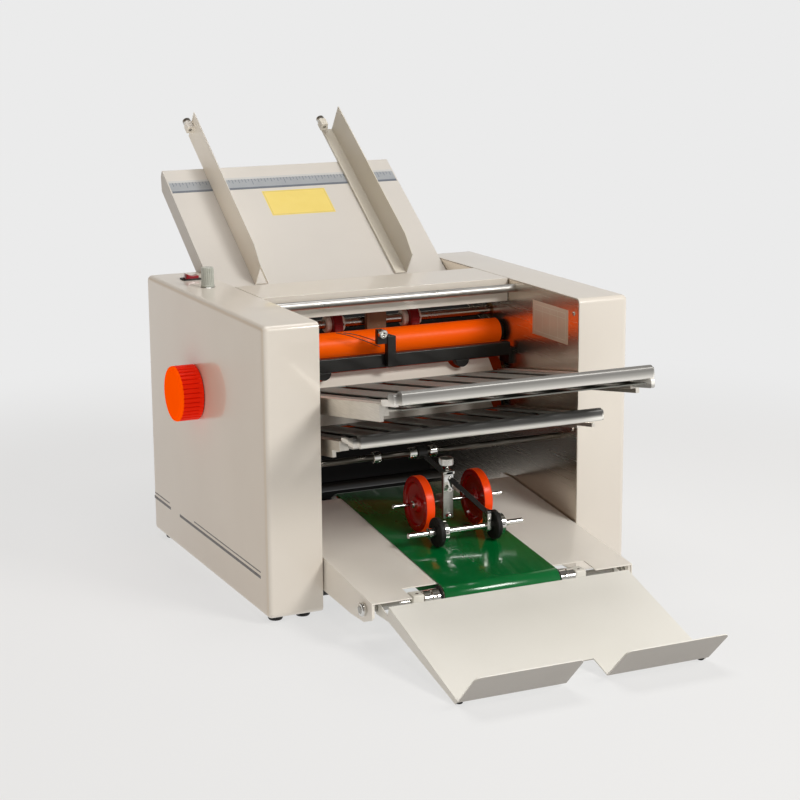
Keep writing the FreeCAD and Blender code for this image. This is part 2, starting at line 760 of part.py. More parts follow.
def plate_bar(length, top, deep_arm):
    """A rounded bar across the plate, with a cap and a link to the rail at each end."""
    near = -length - plate_bar_ahead
    far = near - bar_depth
    profile = box(-bar_half, bar_half, far, near, top - bar_height, top)
    profile = round_edges(profile, bar_round, lambda edge: along(edge, V(1, 0, 0)))
    link = box(bar_half, bar_half + bar_link, near - 2.0, -length, -3.0, 4.0)
    cap = box(bar_half, bar_half + 6.5, near - 4.0, near + bar_depth, top - bar_height, top - 3.0)
    cap = round_edges(cap, 2.5, lambda edge: along(edge, V(1, 0, 0)))
    solids = [profile] + both_sides(link) + both_sides(cap)
    if deep_arm:
        arm = box(bar_half, bar_half + bar_link, far + bar_depth / 2, -length, 7.5 - rail_height, -rail_air)
        arm = round_edges(arm, 4.0, lambda edge: along(edge, V(1, 0, 0)) and edge.CenterOfMass.y < near)
        solids.append(arm)
    return fuse(solids)


def plate_stop(length):
    """A blade in the paper's gap, on two studs that stand through the lower slats' gaps."""
    blade_half = 6.0
    stop_share = 0.6          # of the plate's length, from its mouth
    middle = -length * stop_share
    blade_top = -rail_air - slat_sheet - clear_gap
    blade_low = blade_top - paper_gap + 2 * clear_gap
    solids = [box(blade_half - lip_half, lip_half - blade_half, middle - blade_half, middle + blade_half,
                  blade_low, blade_top)]
    stud_low = blade_low - 14.0
    head_height = 8.0
    for side in (-1, 1):
        x = side * slat_pitch * 1.5
        solids.append(Part.makeCylinder(stop_shank, blade_low - stud_low, V(x, middle, stud_low)))
        solids.append(Part.makeCylinder(stop_radius, head_height, V(x, middle, stud_low - 2.0)))
    return fuse(solids)


def lug_paths():
    """What the crossbar's lugs sweep through the upper plate's lip as the plate slides out."""
    lean = math.radians(plate_tilt)
    sweep = V(0, math.cos(lean), -math.sin(lean)) * (3 * lip_reach + lug_radius)
    discs = [Part.makeCircle(lug_radius + lug_air, V(x, crossbar_y[0], crossbar_z[0]), V(0, 1, 0))
             for x in (-lug_x, lug_x)]
    return [Part.Face(Part.Wire(disc)).extrude(sweep) for disc in discs]


notch_end = 24.0          # of the lower rails' notch, from their front end
finger_top = -12.0
finger_height = 5.0
finger_ahead = 19.0
front_y = roller_front_y - mouth_ahead
rear_y = roller_front_y + column_gap + mouth_ahead
mouths = [(y, roller_centres[index][1] - half_pitch - mouth_drop)
          for y, index in ((front_y, 0), (front_y, 2), (rear_y, 1), (rear_y, 3))]
for name, length, mouth, notched, top in (
        ("upper", upper_plate_length, mouths[0], False, upper_bar_top),
        ("lower", lower_plate_length, mouths[1], True, lower_bar_top)):
    keep(name + "_plate_rails", place_plate(group(plate_rails(length, notched)), mouth, False))
    keep(name + "_plate_slats", place_plate(group(plate_slats(length)), mouth, False))
    keep(name + "_plate_bar", place_plate(plate_bar(length, top, not notched), mouth, False))
    keep(name + "_plate_stop", place_plate(plate_stop(length), mouth, False))
nodes["upper_plate_slats"] = group(layer.cut(lug_paths()) for layer in nodes["upper_plate_slats"].Solids)
for number, mouth in enumerate(mouths[2:]):
    pieces = plate_rails(rear_plate_length, False) + plate_slats(rear_plate_length)
    pieces.append(plate_bar(rear_plate_length, lower_bar_top, True))
    keep("rear_fold_plate_%d" % (number + 1), place_plate(group(pieces), mouth, True))

# --- Delivery deck and belt ------------------------------------------------------------------

deck_slope = math.tan(math.radians(deck_tilt))


def deck_z(y):
    return deck_zero_z + y * deck_slope


deck_line = [(deck_front_y, deck_z(deck_front_y)), (deck_rear_y, deck_z(deck_rear_y))]
deck_top = bent_strip(deck_line, deck_sheet, -deck_half, deck_half)
deck_top = deck_top.cut(
    box(-deck_notch_half, deck_notch_half, deck_front_y - 5, deck_notch_y, 0, deck_zero_z + 30))
deck_inside = deck_half - deck_sheet
flange_shape = sheet_profile([
    (deck_front_y, deck_z(deck_front_y)), (deck_rear_y, deck_z(deck_rear_y)),
    (deck_rear_y, deck_flange_z + 2), (0.0, deck_flange_z), (deck_front_y + 62, deck_flange_z - 4),
    (deck_front_y + 24, deck_flange_z - 3), (deck_front_y, deck_flange_z + 6)], deck_inside, deck_half)
belt_lean = math.radians(deck_tilt)
belt_offset = belt_roller_radius + clear_gap


def belt_centre(y):
    """The axis of a belt roller whose belt lies on the deck; y is that of the axis."""
    return (y, deck_z(y) - belt_offset / math.cos(belt_lean))


belt_front = belt_centre(belt_front_y)
belt_rear = belt_centre(belt_rear_y)
axle_hole = rod_x(-deck_half, deck_half, belt_front, belt_journal)
rear_hole = rod_x(-deck_half, deck_half, belt_rear, belt_journal + running_fit)
ear_end = belt_rear_y + belt_roller_radius
rear_ear = sheet_profile([
    (deck_rear_y, deck_flange_z + 2), (ear_end, deck_flange_z + 14), (ear_end, belt_rear[1] + 12),
    (deck_rear_y, deck_z(deck_rear_y))], deck_inside, deck_half)
gusset_y = deck_front_y + 2.0
gusset_z = deck_z(deck_front_y) - 1.0
gusset = sheet_profile([(gusset_y, gusset_z), (gusset_y + 14, gusset_z), (gusset_y, gusset_z - 18)],
                       deck_inside - 3.0, deck_inside)
deck = fuse([deck_top] + both_sides(flange_shape) + both_sides(rear_ear) + both_sides(gusset))
deck = deck.cut([axle_hole, rear_hole])
keep("delivery_deck", deck)


def belt_loop(radius):
    """A stretched loop round both belt rollers, as a solid of that radius."""
    return pulley_loop(-belt_half, belt_half, belt_front, belt_rear, (radius, radius))


keep("conveyor_belt", belt_loop(belt_offset + belt_sheet).cut(belt_loop(belt_offset)))

roller_half = belt_half + 3.0
stud_seat = 2.0           # how deep a stud sits in its end block
seat_wall = 1.0           # left between the stud and the roller's journal
journal_half = block_x[1] - stud_seat - seat_wall
collar_end = block_x[0] - 2 * clear_gap
keep("front_belt_roller", fuse([rod_x(-roller_half, roller_half, belt_front, belt_roller_radius),
                                rod_x(-journal_half, journal_half, belt_front, belt_journal),
                                rod_x(-collar_end, collar_end, belt_front, belt_collar_radius)]))
rear_roller = fuse([rod_x(-roller_half, roller_half, belt_rear, belt_roller_radius),
                    rod_x(-knob_gear_out, deck_half + 0.5, belt_rear, belt_journal)])
keep("rear_belt_roller", group([
    rear_roller, grooved_pulley(*band_pulley_x, belt_rear, band_pulley_radius, belt_journal)]))
nodes["left_side_plate"] = nodes["left_side_plate"].cut(
    rod_x(-plate_out, -x_in, belt_rear, belt_journal + running_fit))
block = box(*block_x, belt_front[0] - block_half, belt_front[0] + block_half,
            belt_front[1] - block_half, belt_front[1] + block_half + 1)
block = round_edges(block, 3.0, lambda edge: along(edge, V(1, 0, 0)))
block = block.cut([rod_x(block_x[0], journal_half + clear_gap, belt_front, belt_journal + running_fit),
                   rod_x(block_x[1] - stud_seat, block_x[1], belt_front, belt_journal)])
keep("belt_end_blocks", group(both_sides(block)))


def hex_head(x0, x1, centre, flats):
    corners = ring_places(6, flats / math.sqrt(3))
    return sheet_profile([(centre[0] + a, centre[1] + b) for a, b in corners], x0, x1)


nut_height = 6.0
nut_flats = 15.0
bolt_height = 4.0
bolt_flats = 10.0
deck_bolts = [(60.0, 44.0), (150.0, 52.0)]
stud = rod_x(block_x[1] - stud_seat, deck_half + nut_height + 1.0, belt_front, belt_journal)
fasteners = both_sides(stud)
for start in (deck_inside - nut_height, deck_half):
    nut = hex_head(start, start + nut_height, belt_front, nut_flats)
    fasteners += both_sides(nut.cut(rod_x(start, start + nut_height, belt_front, belt_journal)))
for place in deck_bolts:
    head = hex_head(deck_inside - bolt_height, deck_inside, place, bolt_flats)
    fasteners += both_sides(head) + both_sides(rod_x(deck_half, x_in, place, 7.0))
keep("deck_fasteners", group(fasteners))

# --- Press rollers ---------------------------------------------------------------------------


def belt_top(y):
    return deck_z(y) + belt_sheet / math.cos(belt_lean)


def above_belt(y, radius):
    """The axis of a wheel of that radius that just clears the belt."""
    return (y, belt_top(y) + (radius + clear_gap) / math.cos(belt_lean))


press_axle = above_belt(press_axle_y, press_wheel_radius)
press_shaft = above_belt(press_shaft_y, press_disc_radius)
web_recess = 3.5
rim_width = 8.0
wheel_hub = 10.0


def press_wheel(middle):
    """A disc with a dished web between its rim and its hub."""
    ends = (middle - press_wheel_width / 2, middle + press_wheel_width / 2)
    wheel = round_edges(rod_x(*ends, press_axle, press_wheel_radius), soft_edge, lambda edge: True)
    dish = rod_x(*ends, press_axle, press_wheel_radius - rim_width).cut([
        rod_x(*ends, press_axle, wheel_hub),
        rod_x(ends[0] + web_recess, ends[1] - web_recess, press_axle, press_wheel_radius)])
    return wheel.cut([dish, rod_x(*ends, press_axle, press_axle_radius)])


axle_overhang = 36.5
keep("press_wheels", group(press_wheel(middle) for middle in press_wheel_middles))
keep("press_axle", rod_x(press_wheel_middles[0] - axle_overhang, press_wheel_middles[1] + axle_overhang,
                         press_axle, press_axle_radius))

hub_length = 8.0
shoulder_length = 3.0
stub_length = 10.0
shaft_ends = (press_disc_starts[0] - 37.0, press_disc_starts[1] + 44.0)
shaft_solids = [rod_x(*shaft_ends, press_shaft, press_shaft_radius),
                rod_x(press_disc_starts[0] - stub_length, press_disc_starts[0], press_shaft, 6.5)]
discs = []
for x in press_disc_starts:
    hub = x + press_disc_width
    shoulder = hub + hub_length
    shaft_solids.append(rod_x(hub, shoulder, press_shaft, press_hub_radius))
    shaft_solids.append(rod_x(shoulder, shoulder + shoulder_length, press_shaft, 6.0))
    disc = round_edges(rod_x(x, hub, press_shaft, press_disc_radius), 1.0, lambda edge: True)
    discs.append(disc.cut(rod_x(x, hub, press_shaft, press_shaft_radius)))
keep("press_shaft", fuse(shaft_solids))
keep("press_discs", group(discs))

post_sheet = 5.0
boss_half = 8.0
shelf_sheet = 4.0
post_face_y = press_axle_y - 17.0
post_foot_z = press_axle[1] - 19.0
post_head_z = press_axle[1] + 41.5
post_sides = (press_post_x - press_post_half, press_post_x + press_post_half)
upright = box(*post_sides, post_face_y, post_face_y + post_sheet, post_foot_z, post_head_z)
boss = box(*post_sides, post_face_y + post_sheet, press_axle_y + press_post_half,
           press_axle[1] - boss_half, press_axle[1] + boss_half)
shelf = box(press_post_x - 3, post_sides[1] + 2, post_face_y, press_axle_y + 3,
            post_head_z - shelf_sheet, post_head_z)
thumb_shank_radius = 2.5
thumb_place = V(press_post_x + 3.5, post_face_y + 14, post_head_z)
press_post = fuse([upright, boss, shelf]).cut([
    rod_x(-x_in, x_in, press_axle, press_axle_radius + running_fit),
    Part.makeCylinder(thumb_shank_radius + running_fit, 20, thumb_place - V(0, 0, 10))])
foot_nut = Part.makeSphere(4.2, V(press_post_x, post_face_y - 1.5, post_foot_z + 4))
press_post = fuse([press_post, foot_nut])

thumb_neck_height = 5.0
thumb_neck = Part.makeCone(4.5, 6.0, thumb_neck_height, thumb_place + V(0, 0, clear_gap))
thumb_disc = Part.makeCylinder(9.5, 10.0, thumb_place + V(0, 0, thumb_neck_height + clear_gap))
thumb_disc = round_edges(thumb_disc, soft_edge, lambda edge: True)
thumb_shank = Part.makeCylinder(thumb_shank_radius, 6.0, thumb_place - V(0, 0, 5.0))
keep("thumb_screw", fuse([thumb_neck, thumb_disc, thumb_shank]))

arm_top = V(press_post_x - 25.0, press_rod_y, press_rod_z)
arm_low = V(press_disc_starts[1] - 6.5, press_shaft_y, press_shaft[1] + 17.0)
arm_hub_half = 6.0
arm_hub_radius = 8.5
lug_half = 2.5
lug_reach = 7.0
arm_way = arm_low - arm_top


def flat_bar(start, end, width, thickness):
    """A flat bar between two points, its broad side facing the front."""
    way = end - start
    side = way.cross(V(0, 1, 0)).normalize()
    face = way.cross(side).normalize()
    corners = [start + side * (a * width / 2) + face * (b * thickness / 2)
               for a, b in ((-1, -1), (1, -1), (1, 1), (-1, 1))]
    return Part.Face(Part.makePolygon(corners + [corners[0]])).extrude(way)


bar_start = arm_top + arm_way * 0.075
bar_end = arm_low + arm_way * 0.02
arm_bar = flat_bar(bar_start, bar_end, press_arm_width, press_arm_thickness)
hub_ends = (arm_top.x - arm_hub_half, arm_top.x + arm_hub_half)
lug_ends = (arm_low.x - lug_half, arm_low.x + lug_half)
arm_lug = box(*lug_ends, press_shaft_y - lug_reach, press_shaft_y + lug_reach, press_shaft[1] - lug_reach,
              press_shaft[1] + 3 * lug_reach)
arm_lug = round_edges(arm_lug, 4.0, lambda edge: along(edge, V(1, 0, 0)))
press_arm = fuse([arm_bar, rod_x(*hub_ends, press_rod, arm_hub_radius), arm_lug]).cut([
    rod_x(*hub_ends, press_rod, press_rod_radius + running_fit),
    rod_x(*lug_ends, press_shaft, press_shaft_radius + running_fit)])
bolt_share = (press_post_x - 1.0 - arm_top.x) / arm_way.x
bolt_place = arm_top + arm_way * bolt_share
bolt_shank = Part.makeCylinder(2.0, post_face_y - bolt_place.y + 7.0, bolt_place - V(0, 7, 0), V(0, 1, 0))
bolt_head = Part.makeCylinder(4.0, 3.0, bolt_place - V(0, 9, 0), V(0, 1, 0))
arm_bolt = fuse([bolt_shank, bolt_head])
keep("press_arm", press_arm.cut(arm_bolt))
keep("press_post", group([press_post.cut(press_arm).cut(arm_bolt), arm_bolt]))

# --- Stack tray ------------------------------------------------------------------------------

flap_lean = math.radians(tray_flap_lean)
tray_line = [(tray_front_y, tray_front_z), (tray_rear_y, tray_rear_z)]
tray_floor = bent_strip(tray_line, tray_sheet, -tray_half, tray_half)
tray_floor = tray_floor.cut(
    box(-notch_half, notch_half, tray_front_y - 5, tray_front_y + notch_depth, -10, 30))
flap_top = (tray_front_y - tray_flap * math.sin(flap_lean), tray_front_z + tray_flap * math.cos(flap_lean))
flap_line = [flap_top, (tray_front_y, tray_front_z)]
flap = bent_strip(flap_line, tray_sheet, notch_half, tray_half)
flap_normal = V(0, math.cos(flap_lean), math.sin(flap_lean))
flap = round_edges(flap, flap_round, lambda edge: along(edge, flap_normal)
                   and edge.CenterOfMass.z > tray_front_z + tray_flap / 2)
tray_inside = tray_half - tray_sheet
edge_low = tray_rear_z - tray_edge
side_edge = sheet_profile([(tray_front_y, tray_front_z), (tray_rear_y, tray_rear_z), (tray_rear_y, edge_low),
                           (tray_front_y + 6, -foot_height)], tray_inside, tray_half)
side_ear = sheet_profile([
    (tray_rear_y - 6, edge_low), (tray_rear_y, tray_rear_z - 2), (tray_rear_y + 4, belt_front[1] - 1),
    (belt_front[0], belt_front[1] + tray_ear), (belt_front[0] + tray_ear, belt_front[1]),
    (belt_front[0], belt_front[1] - tray_ear), (tray_rear_y + 4, edge_low)], tray_inside, tray_half)
stack_tray = fuse([tray_floor] + both_sides(flap) + both_sides(side_edge) + both_sides(side_ear))
keep("stack_tray", stack_tray.cut(rod_x(-x_in, x_in, belt_front, belt_journal + running_fit)))

# --- Drive and controls ----------------------------------------------------------------------

motor_face = pulley_x1 + 3.0
motor_plate = 4.0
motor_plate_half = (46.0, 42.0)
motor_bolt_inset = 6.0
can_start = motor_face + motor_plate
can_end = x_out - casing_wall - 3.0
can_wall = 3.0
chamber = (can_start + can_wall, can_end - can_wall)
chamber_radius = motor_radius - motor_wall
motor_can = round_edges(rod_x(can_start, can_end, motor_centre, motor_radius), 3.0,
                        lambda edge: abs(edge.CenterOfMass.x - can_end) < 0.01)
motor_y, motor_z = motor_centre
half_y, half_z = motor_plate_half
mount_plate = box(motor_face, can_start, motor_y - half_y, motor_y + half_y,
                  motor_z - half_z, motor_z + half_z)
bolt_y = half_y - motor_bolt_inset
bolt_z = half_z - motor_bolt_inset
spacers = [rod_x(plate_out, motor_face, (motor_y + a * bolt_y, motor_z + b * bolt_z), 5.0)
           for a in (-1, 1) for b in (-1, 1)]
shaft_end = can_end - can_wall / 2
keep("motor", fuse([motor_can, mount_plate] + spacers).cut([
    rod_x(*chamber, motor_centre, chamber_radius),
    rod_x(motor_face, shaft_end + clear_gap, motor_centre, motor_shaft_radius + running_fit)]))
rotor = rod_x(chamber[0] + rotor_air, chamber[1] - rotor_air, motor_centre, chamber_radius - rotor_air)
small_pulley = grooved_pulley(pulley_x0, pulley_x1, motor_centre, small_pulley_radius, motor_shaft_radius)
motor_shaft = rod_x(pulley_x0, shaft_end, motor_centre, motor_shaft_radius)
keep("motor_pulley", group([small_pulley, fuse([motor_shaft, rotor])]))

belt_inset = 2.5
keep("drive_belts", group([
    belt_round(pulley_x0 + belt_inset, pulley_x1 - belt_inset, roller_centres[4], motor_centre,
               (big_pulley_radius, small_pulley_radius), drive_belt_sheet),
    belt_round(band_pulley_x[0] + belt_inset, band_pulley_x[1] - belt_inset, roller_centres[5], belt_rear,
               (band_pulley_radius, band_pulley_radius), drive_belt_sheet)]))

bezel_top = casing_height + 2.0
bezel_depth = 20.0
key_depth = 9.0
sx, sy = switch_centre
bezel_flange = box(*across(sx, switch_size[0], 0), *across(sy, switch_size[1], 0), casing_height, bezel_top)
bezel_body = box(*switch_x, *switch_y, casing_height - bezel_depth, casing_height)
key_air = (0.4, clear_gap)
key_room = box(*across(sx, 2 * rocker_half[0], -key_air[0]), *across(sy, 2 * rocker_half[1], -key_air[1]),
               casing_height - key_depth, bezel_top)
rocker_pivot = casing_height - 2.0


def pivot_pin(radius, half):
    """A pin on the rocker's axis, which runs along Y."""
    return Part.makeCylinder(radius, 2 * half, V(sx, sy - half, rocker_pivot), V(0, 1, 0))


pin_half = switch_size[1] / 2 - bezel_rim
keep("switch_bezel", fuse([bezel_flange, bezel_body]).cut([
    key_room, pivot_pin(rocker_pin_radius + running_fit, pin_half)]))
key_half = rocker_half[0] - 1.0
key_outline = [(-key_half, -2.0), (0.0, -4.0), (key_half, -2.0),
               (key_half, 9.5), (0.0, 8.0), (-key_half, 9.5)]
corners = [V(sx + along_x, sy - rocker_half[1], rocker_pivot + up) for along_x, up in key_outline]
rocker = Part.Face(Part.makePolygon(corners + [corners[0]])).extrude(V(0, 2 * rocker_half[1], 0))
rocker.rotate(V(sx, sy, rocker_pivot), V(0, 1, 0), rocker_tilt)
keep("rocker_switch", fuse([rocker, pivot_pin(rocker_pin_radius, pin_half - 0.2)]))

speed_base = casing_height + 0.6
speed_place = V(*speed_centre, speed_base)
speed_foot = 3.0
flute_radius = 0.8
dial = Part.makeCylinder(speed_radius, speed_height, speed_place)
dial = round_edges(dial, soft_edge, lambda edge: abs(edge.CenterOfMass.z - speed_base - speed_height) < 0.01)
flute_length = speed_height - speed_foot
dial = dial.cut([Part.makeCylinder(flute_radius, flute_length, speed_place + V(a, b, speed_foot))
                 for a, b in ring_places(speed_flutes, speed_radius + clear_gap)])
shank = Part.makeCylinder(speed_shaft_radius, 12.0, speed_place - V(0, 0, 10.0))
keep("speed_knob", fuse([dial, shank]))

ix, iz = inlet_centre
inlet_depth = 22.0
inlet_flange = (8.0, 2.0)
flange_sheet = 2.5
socket_half = (11.5, 8.0)
socket_depth = 14.0
pin_size = (1.0, 2.5)
inlet = fuse([box(*inlet_x, casing_depth - inlet_depth, casing_depth, *inlet_z),
              box(*across(ix, inlet_size[0], -inlet_flange[0]), casing_depth, casing_depth + flange_sheet,
                  *across(iz, inlet_size[1], -inlet_flange[1]))])
socket = box(ix - socket_half[0], ix + socket_half[0], casing_depth - socket_depth,
             casing_depth + flange_sheet, iz - socket_half[1], iz + socket_half[1])
pins = [box(ix + a - pin_size[0], ix + a + pin_size[0], casing_depth - socket_depth - 1, casing_depth - 5,
            iz + b - pin_size[1], iz + b + pin_size[1]) for a, b in ((-7, -2), (0, 2), (7, -2))]
keep("power_inlet", fuse([inlet.cut(socket)] + pins))

# --- Origin and files ------------------------------------------------------------------------

whole = Part.makeCompound(list(nodes.values())).BoundBox
shift = V(-(whole.XMin + whole.XMax) / 2, -(whole.YMin + whole.YMax) / 2, -whole.ZMin)
for name, shape in nodes.items():
    moved = shape.copy()
    moved.translate(shift)
    moved.exportStep("parts/%s.step" % name)
print("nodes", len(nodes), "size", round(whole.XLength, 1), round(whole.YLength, 1), round(whole.ZLength, 1))
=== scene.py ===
import json
import math

import bmesh
import bpy
from mathutils import Matrix, Vector


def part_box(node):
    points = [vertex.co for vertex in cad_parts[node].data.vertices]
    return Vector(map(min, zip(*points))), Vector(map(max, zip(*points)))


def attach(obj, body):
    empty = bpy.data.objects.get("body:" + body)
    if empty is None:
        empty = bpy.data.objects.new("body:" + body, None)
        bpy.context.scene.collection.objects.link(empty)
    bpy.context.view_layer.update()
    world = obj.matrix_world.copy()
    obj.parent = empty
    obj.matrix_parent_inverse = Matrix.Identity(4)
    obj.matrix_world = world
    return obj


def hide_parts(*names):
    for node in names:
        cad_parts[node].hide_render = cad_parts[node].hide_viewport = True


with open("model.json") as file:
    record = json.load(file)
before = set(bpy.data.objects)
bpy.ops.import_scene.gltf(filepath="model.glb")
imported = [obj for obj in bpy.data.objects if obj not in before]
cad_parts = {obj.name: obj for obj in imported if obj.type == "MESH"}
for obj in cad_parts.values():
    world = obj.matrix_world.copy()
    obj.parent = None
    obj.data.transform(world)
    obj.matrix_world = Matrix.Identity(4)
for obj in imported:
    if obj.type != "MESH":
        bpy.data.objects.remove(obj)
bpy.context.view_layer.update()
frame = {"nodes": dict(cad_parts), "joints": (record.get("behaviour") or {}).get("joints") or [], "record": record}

# --- The machine's own frame -------------------------------------------------------------------
# Pieces are drawn in millimetres. X runs across the machine from the middle of its throat, Y back
# from the casings' front face, and Z up from the casings' underside.

MM = 0.001
SIDES = (-1, 1)
LEFTWARDS, FORWARDS = (-1, 0, 0), (0, -1, 0)
UPWARDS, DOWNWARDS = (0, 0, 1), (0, 0, -1)

nodes = frame["nodes"]
bodies = frame["record"]["behaviour"]["bodies"]
body_of = {node: body for body, members in bodies.items() for node in members}
slot_of = {row["node"]: row["material_slot"] for row in frame["record"]["subparts"]}
joint_of = {joint["name"]: joint for joint in frame["joints"]}

left_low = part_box("left_casing")[0]
right_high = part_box("right_casing")[1]
machine_origin = Vector(((left_low.x + right_high.x) / 2, left_low.y, left_low.z))
MACHINE = Matrix.Translation(machine_origin) @ Matrix.Scale(MM, 4)


def in_machine(point):
    """A point of the row frame, in metres, as millimetres in the machine's frame."""
    return (Vector(point) - machine_origin) / MM


def extent(node):
    """Lowest and highest corner of a CAD node in the machine's frame."""
    low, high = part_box(node)
    return in_machine(low), in_machine(high)


def joint_place(joint):
    """The place of a joint in the machine's frame."""
    return in_machine(joint_of[joint]["pos_m"])


def axis_of(joint):
    """The place of a crosswise axis in the machine's frame, on its middle plane."""
    return Vector((0.0, *joint_place(joint).yz))


def leaning(origin, angle):
    """A frame whose Y axis rises by that angle towards the back."""
    return MACHINE @ Matrix.Translation(origin) @ Matrix.Rotation(angle, 4, "X")


casing_low, casing_high = extent("left_casing")
casing_face = casing_low.x
casing_back, casing_top = casing_high.yz
throat_half = extent("right_casing")[0].x

# --- Finishes ----------------------------------------------------------------------------------


def rgb(red, green, blue):
    """A colour given as it looks on a screen, from 0 to 255, as linear light."""
    def linear(value):
        share = value / 255
        return share / 12.92 if share <= 0.04045 else ((share + 0.055) / 1.055) ** 2.4
    return (linear(red), linear(green), linear(blue), 1.0)


def dimmed(colour, share):
    """A linear colour with that share of its light."""
    return (*(share * part for part in colour[:3]), 1.0)


class Shading:
    """A node tree, with short ways to add nodes and to set or link their sockets."""

    def __init__(self, tree):
        self.tree = tree

    def put(self, socket, value):
        """Link a socket to another one, or set its own value."""
        if isinstance(value, bpy.types.NodeSocket):
            self.tree.links.new(value, socket)
        else:
            socket.default_value = value

    def fill(self, node, **named):
        """Set or link a node's sockets; an underscore stands for the space in a socket's name."""
        for name, value in named.items():
            self.put(node.inputs[name.replace("_", " ")], value)

    def node(self, kind, *first, **named):
        """A new node; values without a name go to its first sockets."""
        made = self.tree.nodes.new("ShaderNode" + kind)
        for socket, value in zip(made.inputs, first):
            self.put(socket, value)
        self.fill(made, **named)
        return made

    def ranged(self, value, low, high, start=0.3, end=0.7):
        """A value that goes from low to high while the given one goes from start to end."""
        made = self.node("MapRange", Value=value, From_Min=start, From_Max=end, To_Min=low, To_Max=high)
        return made.outputs["Result"]

    def blended(self, share, first, second, how="MIX"):
        """One colour where share is 0 and another where it is 1; each is a colour or a socket."""
        made = self.node("Mix", share)
        made.data_type = "RGBA"
        made.blend_type = how
        self.put(made.inputs[6], first)
        self.put(made.inputs[7], second)
        return made.outputs[2]


class Finish(Shading):
    """A surface whose colour, gloss and relief vary by patterns in Object coordinates."""

    def __init__(self, name, specular=0.5, coat=0.0, coat_roughness=0.05, **named):
        self.material = bpy.data.materials.new(name)
        self.material.use_nodes = True
        super().__init__(self.material.node_tree)
        self.shader = self.tree.nodes["Principled BSDF"]
        self.place = self.node("TexCoord").outputs["Object"]
        self.fill(self.shader, Specular_IOR_Level=specular, Coat_Weight=coat,
            Coat_Roughness=coat_roughness, **named)

    def noise(self, scale, detail=3.0, roughness=0.55):
        """Cloudy values from 0 to 1. The scale is in cycles per metre, and a small one along one
        axis draws them out along it."""
        scale = scale if isinstance(scale, tuple) else (scale, scale, scale)
        where = self.node("Mapping", Vector=self.place, Scale=scale).outputs["Vector"]
        made = self.node("TexNoise", Vector=where, Scale=1.0, Detail=detail, Roughness=roughness)
        return made.outputs["Fac"]

    def times(self, first, second):
        made = self.node("Math", first, second)
        made.operation = "MULTIPLY"
        return made.outputs["Value"]

    def edge_share(self, radius_mm):
        """1 on sharp edges and 0 on flats."""
        soft = self.node("Bevel", Radius=radius_mm * MM)
        soft.samples = 4
        flat = self.node("NewGeometry")
        made = self.node("VectorMath", soft.outputs["Normal"], flat.outputs["Normal"])
        made.operation = "DOT_PRODUCT"
        return self.ranged(made.outputs["Value"], 1.0, 0.0, 0.90, 0.995)

    def finished(self, colour, gloss, height, depth_mm):
        """The material with its colour, its roughness and a relief of that depth."""
        relief = self.node("Bump", Strength=1.0, Distance=depth_mm * MM, Height=height)
        self.fill(self.shader, Base_Color=colour, Roughness=gloss, Normal=relief.outputs["Normal"])
        return self.material


def paint(name, fresh, shade, rough, worn=None, peel_mm=0.008, coat=0.5, specular=0.5):
    """Stoved paint: faint clouds of tone, specks, orange peel, smudges in the gloss, rubbed edges."""
    made = Finish(name, specular, coat)
    shade = rgb(*shade)
    clouds = made.ranged(made.noise(5), 0.0, 1.0)
    specks = made.ranged(made.noise(1100, 2.0), 0.0, 0.08, 0.62, 0.8)
    colour = made.blended(specks, made.blended(clouds, rgb(*fresh), shade), dimmed(shade, 0.8))
    if worn:
        rubbed = made.times(made.edge_share(0.7), made.ranged(made.noise(60), 0.15, 0.8))
        colour = made.blended(rubbed, colour, rgb(*worn))
    smudges = made.ranged(made.noise(14, 4.0), rough * 0.92, rough * 1.1)
    return made.finished(colour, smudges, made.noise(260, 2.0), peel_mm)


def sheet_steel(name, light, dark, rough, grain=(30, 1400, 1400), stained=0.45, relief_mm=0.012,
        metal=1.0, streaks=0.25):
    """Rolled or brushed metal: fine lines along one axis and faint stains."""
    made = Finish(name, Metallic=metal)
    dark = rgb(*dark)
    lines = made.noise(grain, 3.0, 0.7)
    stains = made.ranged(made.noise(18, 5.0, 0.6), 0.0, stained, 0.52, 0.8)
    colour = made.blended(made.ranged(lines, 0.0, 1.0), rgb(*light), dark)
    colour = made.blended(stains, colour, dimmed(dark, 0.7))
    gloss = made.ranged(lines, rough * (1 - streaks), rough * (1 + streaks))
    return made.finished(colour, gloss, lines, relief_mm)


def plating(name, tone, rough, rings=(900, 3, 3), ripple_mm=0.0015):
    """Bright plating or turned steel: rings round one axis and a film of finger marks."""
    made = Finish(name, Metallic=1.0)
    tone = rgb(*tone)
    film = made.noise(45, 4.0)
    colour = made.blended(made.ranged(film, 0.0, 0.6), tone, dimmed(tone, 0.82))
    gloss = made.ranged(film, rough * 0.7, rough * 1.6)
    return made.finished(colour, gloss, made.noise(rings, 2.0, 0.6), ripple_mm)


def moulding(name, light, dark, rough, coat=0.0, grain_mm=0.02, specular=0.5, dust=0.12, painted_glow=0.0):
    """Moulded plastic or rubber: faint flow clouds, fine grain, dust in the pores, and a faint glow in its own
    colour, which is painted light.
    """
    light = rgb(*light)
    made = Finish(name, specular, coat, coat_roughness=0.08, Emission_Color=light,
        Emission_Strength=painted_glow)
    grain = made.noise(260, 2.0)
    colour = made.blended(made.ranged(made.noise(22, 4.0), 0.0, 1.0), light, rgb(*dark))
    colour = made.blended(made.ranged(grain, 0.0, dust, 0.6, 0.75), colour, rgb(190, 182, 170))
    gloss = made.ranged(made.noise(30), rough * 0.85, rough * 1.2)
    return made.finished(colour, gloss, grain, grain_mm)


